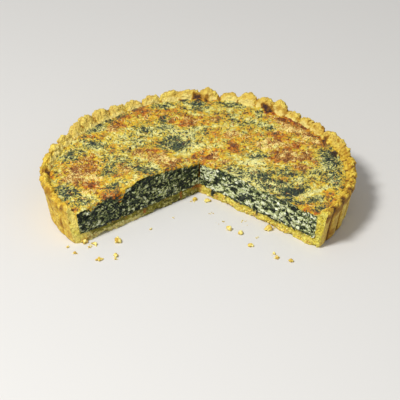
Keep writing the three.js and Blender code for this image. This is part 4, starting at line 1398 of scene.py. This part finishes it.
# A kind of bent rods strewn over the top, with tones from the look and from the place
def strewOnTop(name, look, share, toneAt):
    rng = np.random.default_rng(look["seed"])
    count = look["count"]
    x, y = placesOnTop(count, share, rng, look["edge"])
    turn = rng.uniform(0, 2 * math.pi, count)
    heading = np.arctan2(1.5 * np.sin(turn), np.cos(turn))
    curl = rng.uniform(*look["curl"], count) * rng.choice([-1, 1], count)
    length = rng.uniform(*look["length"], count)
    width = rng.uniform(*look["width"], count)
    template = rodTemplate(5, 4)
    places = bentRods(template, look, x, y, heading, curl, length, width, topSurface, np.eye(3))
    tones = np.clip(rng.normal(*look["tone"], count) + toneAt(x, y), 0, 1)
    mesh = joinedCopies(name, template, places, tones)
    addObject(name, mesh, [toneMaterial(look["material"], look)])


# Piece: grated cheese browned on the top
strandLook = {
    "count": 4000, "seed": 5, "edge": 4.0, "length": (2.0, 4.8), "width": (0.5, 0.9), "thickness": 0.6,
    "lift": 0.12, "curl": (0.04, 0.35), "tone": (0.5, 0.32), "material": "gratedCheese", "roughness": 0.45,
    "grain": 600.0, "colors": [
        (0.0, tint(108, 56, 24)), (0.3, tint(174, 112, 40)), (0.6, tint(210, 160, 70)),
        (0.9, tint(252, 232, 146)),
    ],
}


def buildStrands():
    def share(finish):
        return np.clip(0.02 + 0.9 * finish["tan"] + 0.1 * finish["baked"] - 0.5 * finish["green"], 0.01, 1)

    def toneAt(x, y):
        finish = topFinish(x, y)
        patchy = layeredNoise(flat(x, y, 70), 5, 2, 103)
        return 0.6 * patchy + 0.45 * finish["cream"] - 0.5 * (finish["baked"] - 0.45)

    strewOnTop("cheeseStrands", strandLook, share, toneAt)


# Piece: chopped spinach showing on the top
topShredLook = {
    "count": 1900, "seed": 9, "edge": 2.5, "length": (1.2, 4.2), "width": (0.4, 1.1), "thickness": 0.4,
    "lift": 0.05, "curl": (0.05, 0.5), "tone": (0.45, 0.3), "material": "bakedSpinach", "roughness": 0.5,
    "grain": 500.0,
    "colors": [(0.0, tint(24, 34, 30)), (0.5, tint(58, 72, 50)), (0.95, tint(132, 140, 76))],
}


def buildTopShreds():
    def share(finish):
        return np.clip(0.05 + 0.8 * finish["green"] - 0.2 * finish["tan"], 0.02, 1)

    strewOnTop("spinachOnTop", topShredLook, share, lambda x, y: 0)


# Piece: shreds of spinach on the knife faces
cutShredLook = {
    "counts": {-1: 430, 1: 340}, "seed": 12, "along": (2.5, 124), "lowest": 8.8, "belowTop": 1.6,
    "length": (1.6, 5.0), "width": (0.6, 1.5), "thickness": 0.45, "lift": 0.05, "curl": (0.05, 0.4),
    "darker": {-1: 1.6, 1: 1.1}, "leafTone": 0.1, "leafCurl": 0.3, "roughness": 0.35, "grain": 500.0,
    "colors": [
        (0.05, tint(14, 26, 20)), (0.35, tint(38, 56, 34)), (0.65, tint(108, 120, 62)),
        (0.95, tint(198, 202, 138)),
    ],
}
# Larger leaves, listed one by one: along, height, heading, length, width
largeLeaves = {
    -1: [
        (12, 25, 15, 8, 2.4), (10, 9, 0, 8, 2.2), (26, 8.6, 10, 7, 2.0), (41, 8.8, -10, 8, 1.8),
        (57, 8.8, 10, 8, 2.2), (73, 8.6, 0, 7, 1.8), (88, 9, 10, 7, 2.2), (103, 9, 0, 6, 2.2),
        (32, 26, 25, 7, 2.2), (96, 28, -5, 8, 2.2), (86, 18.6, 15, 8, 2.0), (55, 32, 0, 8, 2),
    ],
    1: [
        (15, 6, 75, 8, 3.0), (29, 8.5, 90, 4.5, 1.2), (60, 9, 95, 4.5, 1.6), (54, 19, 5, 11, 3.6),
        (51, 17, -10, 9, 2.8), (47, 12.5, 25, 7, 1.8), (19, 17, 48, 11, 2.2), (97, 11, 85, 7, 1.8),
        (109, 10, 80, 6, 1.8), (84, 28.4, 5, 6, 1.4), (91, 28.2, -5, 6, 1.4), (48, 14.5, 35, 13, 4.2),
        (40, 9, -10, 8, 2.6), (46, 8, 55, 5, 2.2), (64, 8, 70, 5, 1.8), (71, 9, 10, 6, 1.6),
        (79, 8.6, 0, 6, 1.6), (90, 8.6, 20, 7, 1.8), (102, 9, -30, 6, 1.8), (34, 21, 30, 8, 2.0),
        (70, 22, -25, 9, 2.0), (78, 18, -20, 8, 1.8), (23, 10, 30, 7, 2.0),
    ],
}


def buildCutShreds():
    look = cutShredLook
    rng = np.random.default_rng(look["seed"])
    template = rodTemplate(6, 5)
    places, tones = [], []
    for side in (-1, 1):
        count = look["counts"][side]
        along = rng.uniform(*look["along"], count)
        highest = belowTop(along, np.zeros(count), np.full(count, side)) - look["belowTop"]
        height = look["lowest"] + (highest - look["lowest"]) * rng.uniform(size=count)
        heading = rng.normal(0, 0.7, count)
        length = rng.uniform(*look["length"], count)
        width = rng.uniform(*look["width"], count)
        tones += [rng.uniform(0, 1, count) ** look["darker"][side]]
        leaves = np.array(largeLeaves[side])
        leaves[:, 2] = np.radians(leaves[:, 2])
        tones += [np.full(len(leaves), look["leafTone"])]
        rods = np.concatenate([np.column_stack([along, height, heading, length, width]), leaves])
        along, height, heading, length, width = rods.T
        curl = rng.uniform(*look["curl"], len(along)) * rng.choice([-1, 1], len(along))
        curl[count:] *= look["leafCurl"]

        def surface(a, b, side=side):
            onFace = onKnifeFace(a, b, side)
            onFace[:, :2] += np.outer(fillingRelief(np.maximum(a, 0), b, side), cutNormal(side))
            return onFace

        axes = np.array([[*cutDirection(side), 0], [0, 0, 1], [*cutNormal(side), 0]])
        places += [bentRods(template, look, along, height, heading, curl, length, width, surface, axes)]
    mesh = joinedCopies("spinachInCut", template, np.concatenate(places), np.concatenate(tones))
    addObject("spinachInCut", mesh, [toneMaterial("choppedSpinach", look)])


# Piece: curds of ricotta on the knife faces
curdLook = {
    "counts": {-1: 190, 1: 240}, "seed": 15, "along": (1.5, 123), "height": (10.5, 28.5), "size": (0.7, 3.2),
    "smaller": {-1: 0.6, 1: 1}, "tone": {-1: 0.12, 1: 0.45}, "longer": 0.5, "flatter": 0.4,
    "roughness": 0.45, "grain": 700.0,
    "colors": [(0.0, tint(148, 158, 84)), (0.5, tint(218, 224, 172)), (0.95, tint(246, 249, 224))],
}


def buildCurds():
    look = curdLook
    rng = np.random.default_rng(look["seed"])
    smallest, largest = look["size"]
    centres, sizes, tones = [], [], []
    for side in (-1, 1):
        wanted = look["counts"][side]
        along = rng.uniform(*look["along"], wanted * 5)
        height = rng.uniform(*look["height"], wanted * 5)
        pale = palenessAt(along, height, np.full(len(along), float(side)))
        keep = np.flatnonzero(rng.uniform(size=len(along)) < (pale - 0.3) * 1.6)[:wanted]
        along, height = along[keep], height[keep]
        size = (smallest + (largest - smallest) * rng.uniform(size=len(keep)) ** 3) * look["smaller"][side]
        centre = onKnifeFace(along, height, side)
        centre[:, :2] += np.outer(fillingRelief(along, height, side) - 0.1 * size, cutNormal(side))
        centres.append(centre)
        sizes.append(size)
        tones.append(np.clip(look["tone"][side] + rng.normal(0, 0.3, len(keep)), 0, 1))
    template = blobTemplate()
    places = unevenBlobs(template, np.concatenate(centres), np.concatenate(sizes), look["seed"])
    first = 0
    for side, centre in zip((-1, 1), centres):
        own = slice(first, first + len(centre))
        offset = places[own, :, :2] - centre[:, None, :2]
        for axis, growth in ((cutDirection(side), look["longer"]), (cutNormal(side), -look["flatter"])):
            places[own, :, :2] += growth * (offset @ axis)[..., None] * axis
        first += len(centre)
    mesh = joinedCopies("ricottaCurds", template, places, np.concatenate(tones))
    addObject("ricottaCurds", mesh, [toneMaterial("ricotta", look)])


# Piece: crumbs of crust beside the pie and along the cut's lower edge
looseCrumbLook = {
    "seed": 18, "edgeCount": 280, "edgeAlong": (2, 122), "edgeSize": (0.7, 2.3), "tone": (0.72, 0.16),
    "roughness": 0.75, "grain": 600.0, "colors": [
        (0.05, tint(136, 128, 50)), (0.3, tint(206, 198, 128)), (0.48, tint(200, 154, 56)),
        (0.68, tint(228, 200, 86)), (0.9, tint(248, 234, 144)),
    ],
}
# Crumbs in listed places: x, y, how far they spread, bits, largest bit
crumbPlaces = [
    (-3, -24, 4, 12, 2.6), (8, -26, 6, 24, 2.2), (14, -20, 4, 8, 1.6), (25, -70, 3, 12, 3.0),
    (34, -76, 4, 14, 2.2), (57, -70, 5, 26, 4.0), (42, -94, 3, 14, 3.0), (47, -82, 5, 4, 1.0),
    (-38, -70, 2, 5, 1.6), (-64, -88, 4, 18, 3.6), (-103, -96, 2, 6, 1.8), (-97, -105, 2.5, 9, 2.0),
    (-86, -97, 2.5, 7, 1.8), (-65, -109, 3, 16, 3.0), (-64, -114, 2, 6, 1.8), (-78, -115, 5, 20, 2.6),
    (60, -106, 3, 9, 1.6), (62, -112, 3, 10, 2.2), (73, -117, 2.5, 10, 2.4), (10, -46, 6, 5, 0.9),
    (20, -58, 8, 6, 0.8), (-20, -52, 10, 7, 0.8), (-82, -92, 6, 16, 2.0), (-90, -90, 4, 14, 2.4),
    (36, -56, 7, 8, 0.9),
]


def buildCrumbs():
    look = looseCrumbLook
    rng = np.random.default_rng(look["seed"])
    centres, sizes, tones = [], [], []
    for x, y, spread, bits, largest in crumbPlaces:
        away = np.abs(rng.normal(0, 0.36, bits))
        turn = rng.uniform(0, 2 * math.pi, bits)
        size = 1.3 * largest * rng.uniform(0.3, 1.0, bits) * (1 - 0.5 * np.clip(away, 0, 1))
        pile = 0.5 * largest * np.exp(-3 * away) * rng.uniform(0, 1, bits)
        spotX, spotY = x + spread * away * np.cos(turn), y + spread * away * np.sin(turn)
        centres.append(np.column_stack([spotX, spotY, size * 0.4 + pile]))
        sizes.append(size)
        tones.append(rng.normal(*look["tone"], bits))
    for side in (-1, 1):
        count = look["edgeCount"]
        along = rng.uniform(*look["edgeAlong"], count)
        size = rng.uniform(*look["edgeSize"], count)
        height = np.abs(rng.normal(0, 3.0, count)) + 0.35 * size
        centre = onKnifeFace(along, height, side)
        centre[:, :2] += np.outer(crustRelief(along, height, side) - 0.15 * size, cutNormal(side))
        centres.append(centre)
        sizes.append(size)
        pale = ramp(along, 52, 70) * ramp(6 - height, 0, 3) + 1.2 * ramp(along, 112, 119)
        tone, toneSpread = (0.1 + 0.22 * pale, 0.08) if side < 0 else (0.62, 0.16)
        tones.append(rng.normal(tone, toneSpread, count))
    template = blobTemplate()
    places = unevenBlobs(template, np.concatenate(centres), np.concatenate(sizes), look["seed"])
    places[:, :, 2] = np.maximum(places[:, :, 2], 0)
    mesh = joinedCopies("crustCrumbs", template, places, np.clip(np.concatenate(tones), 0, 1))
    addObject("crustCrumbs", mesh, [toneMaterial("looseCrumb", look)])


# Metres; the camera stands where the photograph's fit puts it
studio = {
    "camera": {
        "at": (0.00164, -1.49861, 0.8964), "target": (0.00164, -0.04851, 0.015), "lens": 189, "sensor": 36,
    },
    "floor": tint(222, 220, 216), "floorSize": 4, "floorRoughness": 0.7, "world": 0.34,
    "lights": {
        "key": {"at": (-0.8, -0.8, 1.52), "size": 0.45, "power": 31.5},
        "fill": {"at": (0.9, -1.3, 1.2), "size": 1.6, "power": 2.4},
    },
}


# Places a camera or light and turns it to a target
def aim(name, data, at, target=(0, 0, 0)):
    obj = bpy.data.objects.new(name, data)
    obj.location = at
    obj.rotation_euler = (Vector(target) - obj.location).to_track_quat("-Z", "Y").to_euler()
    bpy.context.scene.collection.objects.link(obj)
    return obj


def buildCamera():
    setup = studio["camera"]
    camera = aim("camera", bpy.data.cameras.new("camera"), setup["at"], setup["target"])
    camera.data.lens = setup["lens"]
    camera.data.sensor_width = setup["sensor"]
    bpy.context.scene.camera = camera


def buildStudio():
    bm = bmesh.new()
    bmesh.ops.create_grid(bm, x_segments=1, y_segments=1, size=studio["floorSize"])
    floor = bpy.data.objects.new("floor", meshOf(bm, "floor"))
    bpy.context.scene.collection.objects.link(floor)
    material, _, shader = newMaterial("paleFloor", studio["floorRoughness"])
    shader.inputs["Base Color"].default_value = studio["floor"]
    floor.data.materials.append(material)
    world = bpy.data.worlds.new("studio")
    world.use_nodes = True
    background = world.node_tree.nodes["Background"]
    background.inputs["Color"].default_value = (1, 1, 1, 1)
    background.inputs["Strength"].default_value = studio["world"]
    bpy.context.scene.world = world
    for name, setup in studio["lights"].items():
        light = aim(name, bpy.data.lights.new(name, "AREA"), setup["at"])
        light.data.size = setup["size"]
        light.data.energy = setup["power"]
    bpy.context.scene.view_settings.view_transform = "Standard"


buildCamera()
buildStudio()
print("camera and light ready")
buildCrust()
print("crust ready")
buildFilling()
print("filling ready")
buildStrands()
buildTopShreds()
print("cheese and spinach on the top ready")
buildCutShreds()
buildCurds()
print("spinach and ricotta in the cut ready")
buildCrumbs()
print("crumbs ready")
